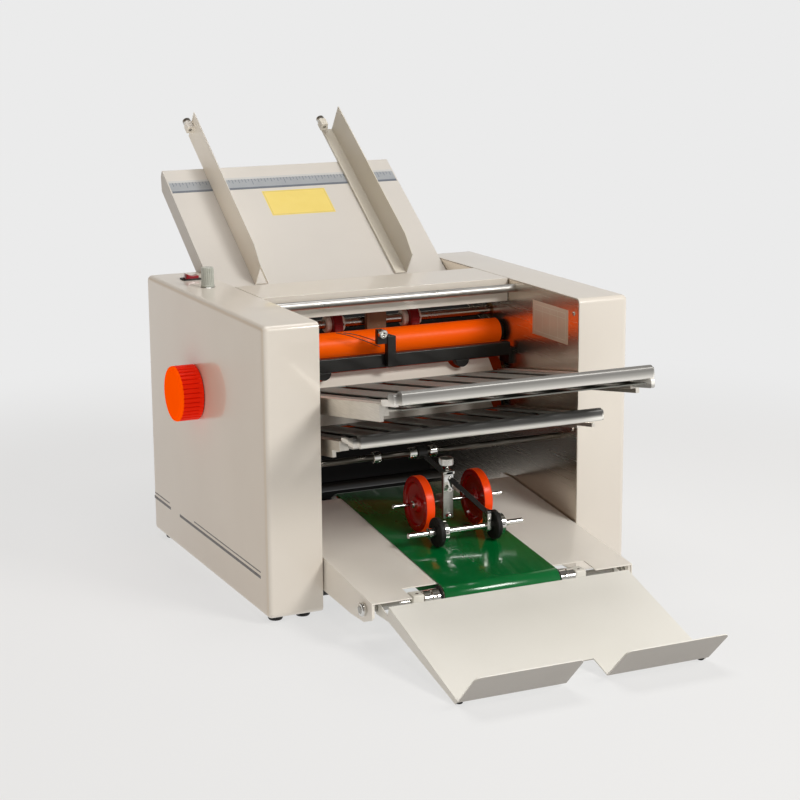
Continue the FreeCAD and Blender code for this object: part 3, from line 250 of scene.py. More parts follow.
def ground_rubber(name, light, dark, rough, specular=0.3, painted_glow=0.0):
    """A roller covering, ground round its axis, with faint darker bands where sheets have run, and a faint glow in
    its own colour if asked, which is painted light.
    """
    light, dark = rgb(*light), rgb(*dark)
    made = Finish(name, specular, Emission_Color=light, Emission_Strength=painted_glow)
    rings = made.noise((1500, 2, 2), 2.0, 0.6)
    bands = made.noise((9, 1, 1))
    marks = made.noise((60, 160, 160))
    colour = made.blended(made.ranged(bands, 0.0, 1.0), light, dark)
    colour = made.blended(made.ranged(marks, 0.0, 0.12, 0.6, 0.8), colour, dark)
    return made.finished(colour, made.ranged(rings, rough * 0.85, rough * 1.25), rings, 0.006)


def belting(name, light, dark, worn):
    """Glossy belting: a fine pressed weave under a clear face, paler along where sheets have run."""
    made = Finish(name, specular=0.3, coat=0.35, coat_roughness=0.04)
    colour = made.blended(made.ranged(made.noise(16, 4.0), 0.0, 1.0), rgb(*light), rgb(*dark))
    runs = made.ranged(made.noise((240, 5, 5)), 0.0, 0.3, 0.55, 0.8)
    gloss = made.ranged(made.noise((60, 8, 8)), 0.12, 0.24)
    weave = made.times(made.noise((900, 40, 900), 1.0), made.noise((40, 900, 900), 1.0))
    return made.finished(made.blended(runs, colour, rgb(*worn)), gloss, weave, 0.008)


def printed(name, ground, ink, rough=0.5):
    """A bare printed label: a flat ground, a paper-fine tooth and faint print blotches."""
    made = Finish(name, coat=0.3, coat_roughness=0.1)
    blotches = made.ranged(made.noise(40, 4.0), 0.0, 0.5)
    colour = made.blended(blotches, rgb(*ground), rgb(*ink))
    gloss = made.ranged(made.noise(90, 2.0), rough * 0.8, rough * 1.2)
    return made.finished(colour, gloss, made.noise(700, 1.0), 0.006)


casing_paint = paint("casing_paint", (224, 217, 206), (220, 212, 201), 0.30, peel_mm=0.006)
# A warmer copy of the casing paint for the machine's left face: painted shade.
left_side_shade_paint = paint("left_side_shade_paint", (224, 212, 195), (219, 206, 189), 0.30, peel_mm=0.006)
lip_steel = paint("lip_steel", (238, 232, 222), (230, 224, 213), 0.3)
tray_paint = paint("tray_paint", (209, 204, 197), (203, 198, 191), 0.46, coat=0.0, specular=0.25)
stack_paint = paint("stack_paint", (236, 234, 227), (231, 229, 221), 0.46, coat=0.0, specular=0.25)
# A darker copy of the stack tray's paint for its faces turned from the light: painted shade.
flap_shade_paint = paint("flap_shade_paint", (175, 170, 163), (169, 164, 157), 0.46, coat=0.0, specular=0.2)
deck_paint = paint("deck_paint", (241, 236, 227), (236, 230, 220), 0.3, coat=0.15, specular=0.35)
# A lighter copy of the guides' paint for the left guide: painted light on its outer face.
left_guide_lit_paint = paint("left_guide_lit_paint", (250, 243, 230), (244, 237, 224), 0.4, coat=0.1, specular=0.3)
wall_paint = paint("wall_paint", (212, 206, 193), (206, 200, 187), 0.4, coat=0.1, specular=0.3)
black_paint = paint("black_paint", (28, 26, 25), (21, 20, 19), 0.4, (70, 68, 64), coat=0.15,
    specular=0.3)
# Black for surfaces deep inside the machine: painted shade for its dark interior.
interior_shade_black = paint("interior_shade_black", (14, 13, 13), (10, 10, 10), 0.55, coat=0.0, specular=0.15)
motor_grey = paint("motor_grey", (96, 99, 102), (84, 87, 90), 0.45, coat=0.1)

side_plate_steel = sheet_steel("side_plate_steel", (236, 226, 212), (230, 220, 206), 0.27,
    grain=(60, 8, 500), stained=0.1, relief_mm=0.00001, streaks=0.02)
satin_steel = sheet_steel("satin_steel", (120, 121, 115), (110, 111, 105), 0.45, relief_mm=0.004,
    metal=0.35)
rail_steel = sheet_steel("rail_steel", (222, 217, 208), (210, 205, 196), 0.42, (1400, 40, 1400))
bar_aluminium = sheet_steel("bar_aluminium", (200, 199, 194), (188, 187, 182), 0.42,
    grain=(3, 900, 900), stained=0.2, relief_mm=0.002)

chrome = plating("chrome", (224, 223, 220), 0.06)
bar_chrome = plating("bar_chrome", (190, 188, 184), 0.34, ripple_mm=0.00005)
chrome_along_z = plating("chrome_along_z", (224, 223, 220), 0.08, (3, 3, 900))
turned_steel = plating("turned_steel", (172, 170, 165), 0.22)
bright_steel = plating("bright_steel", (214, 212, 207), 0.2)
dark_steel = plating("dark_steel", (88, 84, 78), 0.30)
bearing_bronze = plating("bearing_bronze", (150, 118, 74), 0.34)

black_rubber = moulding("black_rubber", (30, 29, 28), (23, 22, 22), 0.62, specular=0.3)
pad_rubber = moulding("pad_rubber", (128, 100, 74), (108, 84, 62), 0.7, grain_mm=0.05)
black_plastic = moulding("black_plastic", (30, 30, 31), (24, 24, 25), 0.42, specular=0.3)
white_plastic = moulding("white_plastic", (231, 228, 219), (221, 217, 206), 0.36)
grey_plastic = moulding("grey_plastic", (186, 189, 180), (174, 177, 168), 0.26, coat=0.3)
# The glow of the knob's plastics, the wheel treads and the top rollers' rubber is painted light: none of them is a
# lamp.
knob_cap_plastic = moulding("knob_cap_plastic", (255, 84, 0), (250, 78, 0), 0.5, specular=0.0,
    dust=0.0, painted_glow=0.36)
knob_side_plastic = moulding("knob_side_plastic", (255, 40, 4), (240, 30, 2), 0.4, specular=0.1,
    dust=0.0, painted_glow=0.13)
# A darker copy of the knob's plastic for the bottoms of its flutes: painted shade.
knob_groove_shade_plastic = moulding("knob_groove_shade_plastic", (236, 30, 5), (224, 24, 3), 0.5,
    specular=0.05, dust=0.0, painted_glow=0.06)
wheel_tread = moulding("wheel_tread", (255, 74, 6), (248, 64, 4), 0.3, specular=0.25, dust=0.0,
    painted_glow=0.15)
wheel_web = moulding("wheel_web", (176, 6, 3), (160, 4, 2), 0.1, coat=0.6, grain_mm=0.006,
    specular=0.3, dust=0.0)
rocker_red = moulding("rocker_red", (152, 4, 26), (134, 2, 20), 0.14, coat=0.5, grain_mm=0.004,
    specular=0.3, dust=0.0)

orange_rubber = ground_rubber("orange_rubber", (255, 98, 4), (252, 88, 0), 0.36, specular=0.12,
    painted_glow=0.12)
# A darker copy of the roller rubber for the lower rollers: painted shade.
shaded_rubber = ground_rubber("shaded_rubber", (176, 62, 8), (160, 54, 6), 0.5, specular=0.1)
red_rubber = ground_rubber("red_rubber", (120, 8, 12), (104, 6, 9), 0.5)
green_belt = belting("green_belt", (0, 108, 50), (0, 96, 42), (6, 112, 58))

label_yellow = printed("label_yellow", (232, 208, 112), (226, 200, 100))
label_border = printed("label_border", (204, 184, 104), (196, 174, 94))
label_silver = printed("label_silver", (230, 203, 182), (220, 193, 172))
label_line = printed("label_line", (244, 228, 210), (236, 220, 202))
ruler_ground = printed("ruler_ground", (158, 162, 166), (146, 150, 155))
ruler_ink = printed("ruler_ink", (104, 110, 120), (94, 100, 110))
ruler_pale = printed("ruler_pale", (196, 196, 194), (188, 188, 186))
stripe_ink = printed("stripe_ink", (70, 62, 56), (60, 53, 48), 0.4)

slot_finish = {
    "casing_paint": casing_paint, "side_plate_paint": side_plate_steel, "black_paint": black_paint,
    "satin_steel": satin_steel, "aluminium": bar_aluminium, "chrome": chrome, "steel": turned_steel,
    "bearing_bronze": bearing_bronze, "motor_grey": motor_grey, "black_rubber": black_rubber,
    "pad_rubber": pad_rubber, "black_plastic": black_plastic, "white_plastic": white_plastic,
    "grey_plastic": grey_plastic, "orange_plastic": knob_cap_plastic, "red_plastic": rocker_red,
    "orange_rubber": orange_rubber, "red_rubber": red_rubber, "green_belt": green_belt}

# --- Outlines ----------------------------------------------------------------------------------
# An outline for turning holds (along, radius) pairs.

shaft_radius = 6.0
roller_across = 35.0
gear_teeth = 20
gear_module = roller_across / gear_teeth


def rod(start, end, radius, chamfer=0.5):
    """The outline of a plain rod."""
    return [(start, 0), (start, radius - chamfer), (start + chamfer, radius),
        (end - chamfer, radius), (end, radius - chamfer), (end, 0)]


def rod_of(node, radius, chamfer):
    """The outline of a plain rod as long as a CAD node."""
    low, high = extent(node)
    return rod(low.x, high.x, radius, chamfer)


def ring(start, end, inner, outer, chamfer=0.4):
    """The outline of a ring."""
    return [(start, inner), *rod(start, end, outer, chamfer)[1:-1], (end, inner), (start, inner)]


def grooved(start, end, radius):
    """The outline of a flat pulley with rims."""
    rim = radius + 3
    return [(start, shaft_radius), (start, rim - 0.4), (start + 0.4, rim), (start + 1.6, rim),
        (start + 2, radius), (end - 2, radius), (end - 1.6, rim), (end - 0.4, rim),
        (end, rim - 0.4), (end, shaft_radius), (start, shaft_radius)]


def wall(start, end, radius, steps, taper=0.0):
    """Evenly spaced points along a turned wall, past its first one, for flutes to be pressed in."""
    return [(start + (end - start) * step / steps, radius - taper * step)
        for step in range(1, steps + 1)]


def arc(centre, radius, start, end, steps):
    """Points on an arc in an outline's plane, between two angles in degrees."""
    angles = [math.radians(start + (end - start) * step / steps) for step in range(steps + 1)]
    return [(centre[0] + radius * math.cos(angle), centre[1] + radius * math.sin(angle))
        for angle in angles]


def span(side, start, end):
    """Two places along X on one side of the machine, the lower one first."""
    return sorted((side * start, side * end))


def ruled(low, high, columns, rows, half):
    """Thin lines across a panel, as pairs of corners on its plane."""
    lines = [((place - half, low[1]), (place + half, high[1])) for place in columns]
    return lines + [((low[0], place - half), (high[0], place + half)) for place in rows]


def fluted(count, depth, start, end, radius):
    """A shaping step that presses flutes into the turned wall between two places."""
    wall_depth = 1.5
    narrowing = 1.6

    def shape(part):
        for corner in part.verts:
            reach = math.hypot(corner.co.y, corner.co.z)
            if start < corner.co.x < end and reach > radius - wall_depth:
                wave = math.cos(count * math.atan2(corner.co.z, corner.co.y))
                pressed = reach - depth * max(0.0, wave) ** narrowing
                corner.co.y *= pressed / reach
                corner.co.z *= pressed / reach
    return shape


# --- Ways of making a piece --------------------------------------------------------------------

SHARP = math.radians(32)
EASED = math.radians(40)
CURVE_STEPS = 72


def facing(at, way, drawn=(1, 0, 0)):
    """A frame at a point of the machine, turned so that the drawn axis looks that way."""
    turn = Vector(drawn).rotation_difference(Vector(way)).to_matrix().to_4x4()
    return MACHINE @ Matrix.Translation(Vector(at)) @ turn


def draw_out(part, reach):
    """Extrude a flat shape along a vector."""
    made = bmesh.ops.extrude_face_region(part, geom=list(part.faces))["geom"]
    corners = [item for item in made if isinstance(item, bmesh.types.BMVert)]
    bmesh.ops.translate(part, vec=reach, verts=corners)


def dress(part, finishes, finish, choose):
    """Give each face the finish that choose names for it, or else the plain one."""
    for face in part.faces:
        wanted = (choose(face) if choose else None) or finish
        if wanted not in finishes:
            finishes.append(wanted)
        face.material_index = finishes.index(wanted)
        face.smooth = True


def shown(name, mesh, node, body="root"):
    """An object of that mesh: it stands in for a CAD node, or else just rides on a body."""
    mesh.set_sharp_from_angle(angle=SHARP)
    made = bpy.data.objects.new(name, mesh)
    bpy.context.scene.collection.objects.link(made)
    if node:
        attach(made, body_of[node])
        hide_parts(node)
    else:
        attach(made, body)
    return made


class Piece:
    """A visible piece, put together from shapes that are drawn in millimetres. Its turned shapes
    lie on its own axis, unless they are given another place or way."""

    def __init__(self, name, centre=(0, 0, 0), way=(1, 0, 0)):
        self.name = name
        self.centre = centre
        self.way = way
        self.whole = bmesh.new()
        self.finishes = []

    def take(self, part, finish, place, ease=0.0, steps=2, choose=None):
        """Close the shape, ease its corners, move it into place and add it to the piece."""
        bmesh.ops.remove_doubles(part, verts=part.verts, dist=0.001)
        bmesh.ops.recalc_face_normals(part, faces=part.faces)
        if ease:
            corners = [edge for edge in part.edges
                if edge.is_manifold and edge.calc_face_angle() > SHARP]
            bmesh.ops.bevel(part, geom=corners, offset=ease, segments=steps, profile=0.5,
                affect="EDGES", material=-1, clamp_overlap=True)
        dress(part, self.finishes, finish, choose)
        bmesh.ops.transform(part, matrix=place, verts=part.verts)
        carrier = bpy.data.meshes.new("carrier")
        part.to_mesh(carrier)
        part.free()
        self.whole.from_mesh(carrier)
        bpy.data.meshes.remove(carrier)

    def turned(self, outline, finish, at=None, way=None, steps=CURVE_STEPS, choose=None, shape=None):
        """A shape turned about an axis."""
        part = bmesh.new()
        corners = [part.verts.new((along, radius, 0.0)) for along, radius in outline]
        lines = [part.edges.new(pair) for pair in zip(corners, corners[1:])]
        bmesh.ops.spin(part, geom=corners + lines, cent=(0, 0, 0), axis=(1, 0, 0), dvec=(0, 0, 0),
            angle=math.tau, steps=steps, use_merge=True, use_duplicate=False)
        if shape:
            bmesh.ops.remove_doubles(part, verts=part.verts, dist=0.001)
            shape(part)
        self.take(part, finish, facing(at or self.centre, way or self.way), choose=choose)

    def block(self, low, high, finish, ease=0.0, steps=2, place=MACHINE):
        """A block between two corners, with eased edges if they are asked for."""
        part = bmesh.new()
        low, high = Vector(low), Vector(high)
        stretch = Matrix.Diagonal((*(high - low), 1.0))
        middle = Matrix.Translation((low + high) / 2)
        bmesh.ops.create_cube(part, size=1.0, matrix=middle @ stretch)
        self.take(part, finish, place, ease, steps)

    def prism(self, outline, start, end, finish, ease, axis="x", place=MACHINE):
        """A closed outline drawn out along X or Y; outline holds the other two coordinates."""
        part = bmesh.new()
        along_y = axis == "y"
        corners = [(a, start, b) if along_y else (start, a, b) for a, b in outline]
        part.faces.new([part.verts.new(corner) for corner in corners])
        draw_out(part, (0, end - start, 0) if along_y else (end - start, 0, 0))
        self.take(part, finish, place, ease)

    def gear(self, start, end):
        """A spur gear with its hub, on the piece's axis: of four corners a tooth, two stand out."""
        part = bmesh.new()
        pitch = gear_module * gear_teeth / 2
        root = pitch - 1.15 * gear_module
        tip = pitch + 0.85 * gear_module
        bmesh.ops.create_circle(part, cap_ends=True, segments=4 * gear_teeth, radius=root)
        around = sorted(part.verts, key=lambda corner: math.atan2(corner.co.y, corner.co.x))
        for index, corner in enumerate(around):
            if index % 4 in (1, 2):
                corner.co *= tip / root
        draw_out(part, (0, 0, end - start))
        turn = Matrix.Rotation(math.radians(90), 4, "Y")
        place = MACHINE @ Matrix.Translation(Vector((start, *self.centre.yz))) @ turn
        self.take(part, turned_steel, place)
        hub = ring(start - 0.4, end + 0.4, shaft_radius, shaft_radius + 4.0)
        self.turned(hub, turned_steel, steps=32)

    def wire(self, points, radius, finish):
        """A round wire that follows a line of points."""
        line = bpy.data.curves.new("wire", "CURVE")
        line.dimensions = "3D"
        spline = line.splines.new("NURBS")
        spline.points.add(len(points) - 1)
        for spot, point in zip(spline.points, points):
            spot.co = (*point, 1.0)
        spline.order_u = 3
        spline.use_endpoint_u = True
        line.bevel_depth = radius
        line.bevel_resolution = 3
        line.use_fill_caps = True
        holder = bpy.data.objects.new("wire", line)
        bpy.context.scene.collection.objects.link(holder)
        scene_now = bpy.context.evaluated_depsgraph_get()
        mesh = bpy.data.meshes.new_from_object(holder.evaluated_get(scene_now))
        part = bmesh.new()
        part.from_mesh(mesh)
        bpy.data.objects.remove(holder)
        bpy.data.meshes.remove(mesh)
        self.take(part, finish, MACHINE)

    def hex_nut(self, start, end, centre, across, finish, way):
        """A hexagon nut or bolt head with eased corners."""
        part = bmesh.new()
        bmesh.ops.create_circle(part, cap_ends=True, segments=6, radius=across / math.sqrt(3))
        draw_out(part, (0, 0, end - start))
        place = facing(Vector(centre) + Vector(way) * start, way, UPWARDS)
        self.take(part, finish, place, ease=across * 0.05)

    def screw(self, at, way, radius, finish, height):
        """A pan-head screw with a cross recess."""
        rim = 0.45 * height
        dome = [(0, 0), (0, radius), (rim, radius)]
        for step in range(1, 5):
            angle = math.radians(22.5 * step)
            reach = radius * math.cos(angle) ** 0.6 if step < 4 else 0
            dome.append((rim + (height - rim) * math.sin(angle), reach))
        self.turned(dome, finish, at, way, 32)
        long, narrow = 0.55 * radius, 0.11 * radius
        foot, top = 0.86 * height, 1.02 * height
        for y, z in ((long, narrow), (narrow, long)):
            self.block((foot, -y, -z), (top, y, z), dark_steel, place=facing(at, way))

    def done(self, node=None, body="root"):
        """Turn the drawing into an object that stands in for a CAD node, or rides on a body."""
        mesh = bpy.data.meshes.new(self.name)
        self.whole.to_mesh(mesh)
        self.whole.free()
        for finish in self.finishes:
            mesh.materials.append(finish)
        shown(self.name, mesh, node, body)


def clad(node, ease, finish=None, choose=None):
    """A worked copy of a sheet-metal node, with its sharp edges eased."""
    mesh = nodes[node].data.copy()
    mesh.name = node + "_worked"
    work = bmesh.new()
    work.from_mesh(mesh)
    bmesh.ops.remove_doubles(work, verts=work.verts, dist=1e-6)
    flat = math.radians(0.5)
    bmesh.ops.dissolve_limit(work, angle_limit=flat, verts=work.verts, edges=work.edges)
    finish = finish or slot_finish[slot_of[node]]
    finishes = [finish]
    dress(work, finishes, finish, choose)
    mesh.materials.clear()
    for material in finishes:
        mesh.materials.append(material)
    work.to_mesh(mesh)
    work.free()
    if mesh.attributes.get("custom_normal"):
        mesh.attributes.remove(mesh.attributes["custom_normal"])
    made = shown(mesh.name, mesh, node)
    bevel = made.modifiers.new("ease", "BEVEL")
    bevel.width = ease * MM
    bevel.segments = 2
    bevel.limit_method = "ANGLE"
    bevel.angle_limit = EASED
    bevel.use_clamp_overlap = False
    bevel.harden_normals = True


# --- Casings -----------------------------------------------------------------------------------


def casing_finish(face):
    """The broad face on the machine's left gets a warmer copy of the casing paint: painted warm shade for the
    light that falls on that side.
    """
    return left_side_shade_paint if face.normal.x < -0.8 else None


clad("left_casing", 0.5, choose=casing_finish)
for name in ("right_casing", "left_side_plate", "right_side_plate"):
    clad(name, 0.5)


def casing_stripes():
    """Two printed lines low on the left casing's outer face, broken towards the back."""
    piece = Piece("casing_stripes")
    proud = 0.08
    depth = 0.3
    for foot, height, runs in ((45.5, 4.0, ((24, 328), (366, 437))),
            (53.2, 1.6, ((23.5, 269), (371, 434)))):
        for start, end in runs:
            piece.block((casing_face - proud, start, foot), (casing_face + depth, end, foot + height),
                stripe_ink)
    piece.done()


casing_stripes()


def rubber_feet():
    """Turned rubber feet, each with a moulded rim and the screw that holds it."""
    piece = Piece("rubber_feet_turned", way=DOWNWARDS)
    low, high = extent("rubber_feet")
    drop = high.z - low.z
    recess = drop - 2.5
    inset_x = 18
    inset_y = 24
    foot = [(0, 0), (0, 10), (drop * 0.55, 9.6), (drop - 1.2, 8.9), (drop, 8.0), (drop, 4.4),
        (recess, 3.8), (recess, 0)]
    for x in (throat_half + inset_x, -casing_face - inset_x):
        for y in (inset_y, casing_back - inset_y):
            for side in SIDES:
                piece.turned(foot, black_rubber, (side * x, y, 0), steps=40)
                piece.turned(rod(0, 1.2, 3.2, 0.4), turned_steel, (side * x, y, 0.1 - recess), steps=24)
    piece.done("rubber_feet")


rubber_feet()


def wall_screws():
    """Small screws that hold the casings to the side plates, on the walls of the throat."""
    piece = Piece("wall_screws")
    rear = casing_back - 14
    for side in SIDES:
        for y, z in ((13.5, 340), (13.5, 190), (rear, 340), (rear, 30)):
            piece.screw((side * throat_half, y, z), (-side, 0, 0), 2.6, chrome, 1.3)
    piece.done()


wall_screws()


def rating_plate():
    """A bare metal plate with ruled, empty columns, on the right wall of the throat."""
    piece = Piece("blank_plate")
    proud = 0.35
    depth = 0.2
    low = Vector((28.0, 297.0))
    high = Vector((121.0, 342.0))
    margin = Vector((6.0, 5.0))
    fields = 4
    heading = 7
    piece.block((throat_half - proud, *low), (throat_half + depth, *high), label_silver, 0.1)
    low += margin
    high -= margin
    columns = [low.x + (high.x - low.x) * line / fields for line in range(fields + 1)]
    for start, end in ruled(low, high, columns, (low.y, high.y, high.y - heading), 0.35):
        piece.block((throat_half - proud - 0.07, *start), (throat_half - depth, *end), label_line)
    piece.done()


rating_plate()

# --- Hand knob and controls --------------------------------------------------------------------


def hand_knob():
    """The fluted knob, with a smooth cap let into its outer face and a dark collar behind, whose black ring also
    stands in for the shade in the gap at the casing.
    """
    low, high = extent("hand_knob")
    axis = axis_of("hand_knob_spin").yz
    length = high.x - low.x
    radius = (high.z - low.z) / 2
    flutes = 36
    shoulder = length - 3.4
    outline = [(0, 8), (0, radius - 1.2), (1.2, radius), *wall(1.2, length - 4.0, radius, 6)]
    outline += arc((shoulder, radius - 3.0), 3.0, 90, 0, 6)[1:]
    outline += [(length - 0.4, radius - 4.2), (length - 1.0, radius - 4.6), (length - 1.0, 0)]

    # Faces deep in the flutes take a darker plastic: painted shade in the grooves.
    def groove_painted_shade(face):
        middle = face.calc_center_median()
        if middle.x > shoulder:
            return knob_cap_plastic
        deep = math.hypot(middle.y, middle.z) < radius - 0.55
        return knob_groove_shade_plastic if deep and middle.x > 2.0 else knob_side_plastic

    piece = Piece("hand_knob_fluted", (high.x, *axis), LEFTWARDS)
    piece.turned(outline, knob_side_plastic, steps=flutes * 8, choose=groove_painted_shade,
        shape=fluted(flutes, 1.3, 2.0, length - 2.8, radius))
    cap = [(length - 3.0, 0), (length - 3.0, radius - 4.7), (length - 0.8, radius - 4.9),
        (length - 0.2, radius - 5.8), (length, radius - 8.0), (length, 0)]
    piece.turned(cap, knob_cap_plastic, steps=96)
    piece.done("hand_knob")
    # The collar is a black washer; it also stands in for the shade in the gap between the knob and the casing.
    collar = Piece("knob_collar", (casing_face, *axis), LEFTWARDS)
    collar.turned(ring(0.05, 0.6, 6.3, radius - 2.0, 0.1), black_plastic, steps=96)
    collar.done()


hand_knob()


def speed_knob():
    """The speed control: a tall fluted cap with a pointer line on its flat top."""
    low, high = extent("speed_knob")
    middle = (low + high) / 2
    base = casing_top + 0.6
    height = high.z - base
    radius = (high.x - low.x) / 2
    flutes = 18
    outline = [(-10, 0), (-10, 3), (0, 3), (0, radius - 0.3), (0.6, radius), (2.6, radius),
        (3.0, radius - 0.4), *wall(3.0, height - 2.0, radius - 0.4, 5, 0.1),
        (height - 0.8, radius - 1.1), (height - 0.1, radius - 1.9), (height, radius - 2.8),
        (height, 0)]
    piece = Piece("speed_knob_fluted", (*middle.xy, base), UPWARDS)
    piece.turned(outline, grey_plastic, steps=flutes * 8,
        shape=fluted(flutes, 0.9, 3.2, height - 1.2, radius - 0.6))
    piece.block((middle.x - 0.5, middle.y - radius + 1.4, high.z - 0.3),
        (middle.x + 0.5, middle.y - 1.0, high.z - 0.02), white_plastic, 0.1)
    piece.done("speed_knob")
    washer = Piece("speed_washer", (*middle.xy, casing_top), UPWARDS)
    washer.turned(ring(0.02, 0.5, 3.2, radius + 1.6, 0.2), chrome_along_z, steps=64)
    washer.done()


speed_knob()


def switch_frame():
    """The rocker's black frame, with a thin lining that goes down into the casing."""
    piece = Piece("switch_frame")
    low, high = extent("switch_bezel")
    middle = (low + high) / 2
    half = (high - low) / 2
    floor_top = casing_top - 9.2
    for outer, inner, foot, head, ease in ((0.0, 2.4, casing_top, high.z, 0.5),
            (2.0, 2.5, floor_top - 0.1, casing_top, 0.0)):
        for side in SIDES:
            piece.block((middle.x + side * (half.x - outer), low.y + outer, foot),
                (middle.x + side * (half.x - inner), high.y - outer, head), black_plastic, ease)
            piece.block((low.x + outer, middle.y + side * (half.y - outer), foot),
                (high.x - outer, middle.y + side * (half.y - inner), head), black_plastic, ease)
    piece.block((low.x + 2, low.y + 2, low.z), (high.x - 2, high.y - 2, floor_top), black_plastic, 0.3)
    piece.done("switch_bezel")


def rocker_key():
    """The mains rocker: a red key with a dished top and a pale mark, tilted to one side."""
    piece = Piece("rocker_key")
    half = 8.6
    wide = 6.0
    top = 9.0
    dish = 1.6
    tilt = math.radians(9.0)
    outline = [(-half, -2.0), (0, -4.0), (half, -2.0), (half, top)]
    for step in range(1, 11):
        outline.append((half * (1 - step / 5), top - dish * math.sin(math.pi * step / 10)))
    pivot = joint_place("rocker_switch_tilt")
    place = MACHINE @ Matrix.Translation(pivot) @ Matrix.Rotation(tilt, 4, "Y")
    piece.prism(outline, -wide, wide, rocker_red, 0.35, "y", place)
    piece.block((-5.2, -2.6, 8.0), (-4.6, 2.6, 8.7), white_plastic, place=place)
    piece.done("rocker_switch")


switch_frame()
rocker_key()

# --- Top cover, front bar, crossbar, separator -------------------------------------------------


def front_bar():
    """The polished rod under the cover's front edge."""
    low, high = extent("front_bar")
    piece = Piece("front_bar_polished", (0, *((low + high) / 2).yz))
    piece.turned(rod(low.x, high.x, (high.z - low.z) / 2, 0.4), bar_chrome)
    piece.done("front_bar")


clad("top_cover", 0.5)
front_bar()
clad("crossbar", 0.7)
# The rear cover is black all over: painted shade for the dark inside of the machine.
clad("rear_cover", 0.4, interior_shade_black)


def separator_screw():
    """The chrome socket screw that sets the separator."""
    piece = Piece("separator_screw_turned", joint_place("separator_screw_turn"), FORWARDS)
    head = [(0, 0), (0, 3.4), (1.0, 5.0), (1.6, 6.0), (6.2, 6.0), (6.8, 5.4), (7.0, 4.4), (7.0, 2.8),
        (3.0, 2.6), (3.0, 0)]
    piece.turned(head, chrome, shape=fluted(24, 0.35, 1.7, 6.1, 6.0))
    piece.turned(rod(-14, 0, 2.5, 0.4), dark_steel, steps=32)
    piece.done("separator_screw")


separator_screw()


def guide_wires():
    """Two spring wires that lead sheets onto the top roller, held by the separator's post."""
    piece = Piece("guide_wires")
    for far, near in (((-77.8, 185.0, 308.4), (-22.3, 168.0, 287.8)),
            ((-67.1, 185.0, 307.4), (-22.3, 168.0, 293.5))):
        start, end = Vector(near), Vector(far)
        bows = [start.lerp(end, share) + Vector((0, 0, rise)) for share, rise in ((0.3, 1.6), (0.75, 2.4))]
        piece.wire([start, *bows, end], 0.55, dark_steel)
    piece.done()


guide_wires()


def separator_pad():
    """The rubber pad, its steel holder and the strip that carries it between the side plates."""
    high = extent("separator_pad")[1]
    pad_half = 14.5
    pad_top = high.z - 10.5

    def steel_parts(face):
        middle = in_machine(face.calc_center_median())
        return None if abs(middle.x) < pad_half and middle.z < pad_top else black_paint

    clad("separator_pad", 0.4, pad_rubber, steel_parts)
    screws = Piece("separator_pad_screws")
    for x in (-9.0, 9.0, -46.9, 46.9):
        screws.screw((x, high.y - 8, high.z), UPWARDS, 2.4, chrome, 1.4)
    screws.done()


separator_pad()

# --- Rollers -----------------------------------------------------------------------------------


def fold_roller(index):
    """One fold roller: steel core, ground orange covering, dark end seals and its drive."""
    name = "fold_roller_%d" % index
    piece = Piece(name + "_ground", axis_of(name + "_spin"))
    air = 0.02
    radius = roller_across / 2 - air
    half = throat_half - 8.0
    # The lower four rollers take a darker copy of the rubber without glow, as painted shade; the top two glow a
    # little, as painted light.
    rubber = orange_rubber if index < 3 else shaded_rubber
    piece.turned(rod(-half, half, radius, 0.9), rubber, steps=96)
    piece.turned(rod_of(name, shaft_radius, 0.8), turned_steel, steps=40)
    # The third roller's seals are smaller, to stay clear of the crossbar.
    seal = 9.0 if index == 3 else radius - 2.4
    for side in SIDES:
        outline = ring(*span(side, half + 0.1, half + 4.5), shaft_radius, seal, 0.6)
        piece.turned(outline, black_rubber, steps=64)
    wide = 8
    drive = throat_half + 9.0
    second_drive = drive + wide + 2
    piece.gear(-drive - wide, -drive)
    if index == 2:
        piece.gear(drive, drive + wide)
        piece.gear(-second_drive - wide, -second_drive)
    if index == 5:
        piece.turned(grooved(drive, drive + 12, 30), bar_aluminium)
    if index == 6:
        piece.turned(grooved(-second_drive - wide, -second_drive, 14), bar_aluminium)
    piece.done(name)


for number in range(1, 7):
    fold_roller(number)


def feed_wheels():
    """Two ribbed feed tyres on their hubs, with a set screw in each hub."""
    piece = Piece("feed_wheels_ribbed")
    axis = axis_of("feed_shaft_spin")
    half = 6.5
    radius = 20.0
    ribs = 60
    for middle in (-56, 56):
        at = (middle, *axis.yz)
        piece.turned(ring(-half, half, 9, radius, 1.5), red_rubber, at, steps=ribs * 4,
            shape=fluted(ribs, 0.5, 1.0 - half, half - 1.0, radius))
        piece.turned(ring(-13, 13, shaft_radius, 11, 0.8), white_plastic, at, steps=48)
        piece.screw((middle + 9.5, axis.y - 10.6, axis.z), FORWARDS, 1.8, dark_steel, 0.6)
    piece.done("feed_wheels")


feed_wheels()

# --- Feed tray and guides ----------------------------------------------------------------------


def tray_finish(face):
    """The sheet is painted light on its slope; its folded-down end inside the machine is black, as painted shade
    for the dark inside of the machine.
    """
    fold_back, fold_top = 332, 345
    middle = in_machine(face.calc_center_median())
    return interior_shade_black if middle.y < fold_back and middle.z < fold_top else None


def guide_flange_shade(face):
    """The flange that lies on the tray takes the tray's darker, dull paint, as painted shade beside the lighter
    guide paint.
    """
    return tray_paint if face.normal.z > 0.6 else None


clad("feed_tray", 0.4, tray_paint, tray_finish)
clad("left_guide", 0.35, left_guide_lit_paint, guide_flange_shade)
clad("right_guide", 0.35, wall_paint)

feed_tilt = math.radians(34.9)
tray_top = Vector((0, 579.3, 486.8))
tray_half = 177.5
FEED = leaning(tray_top, feed_tilt)


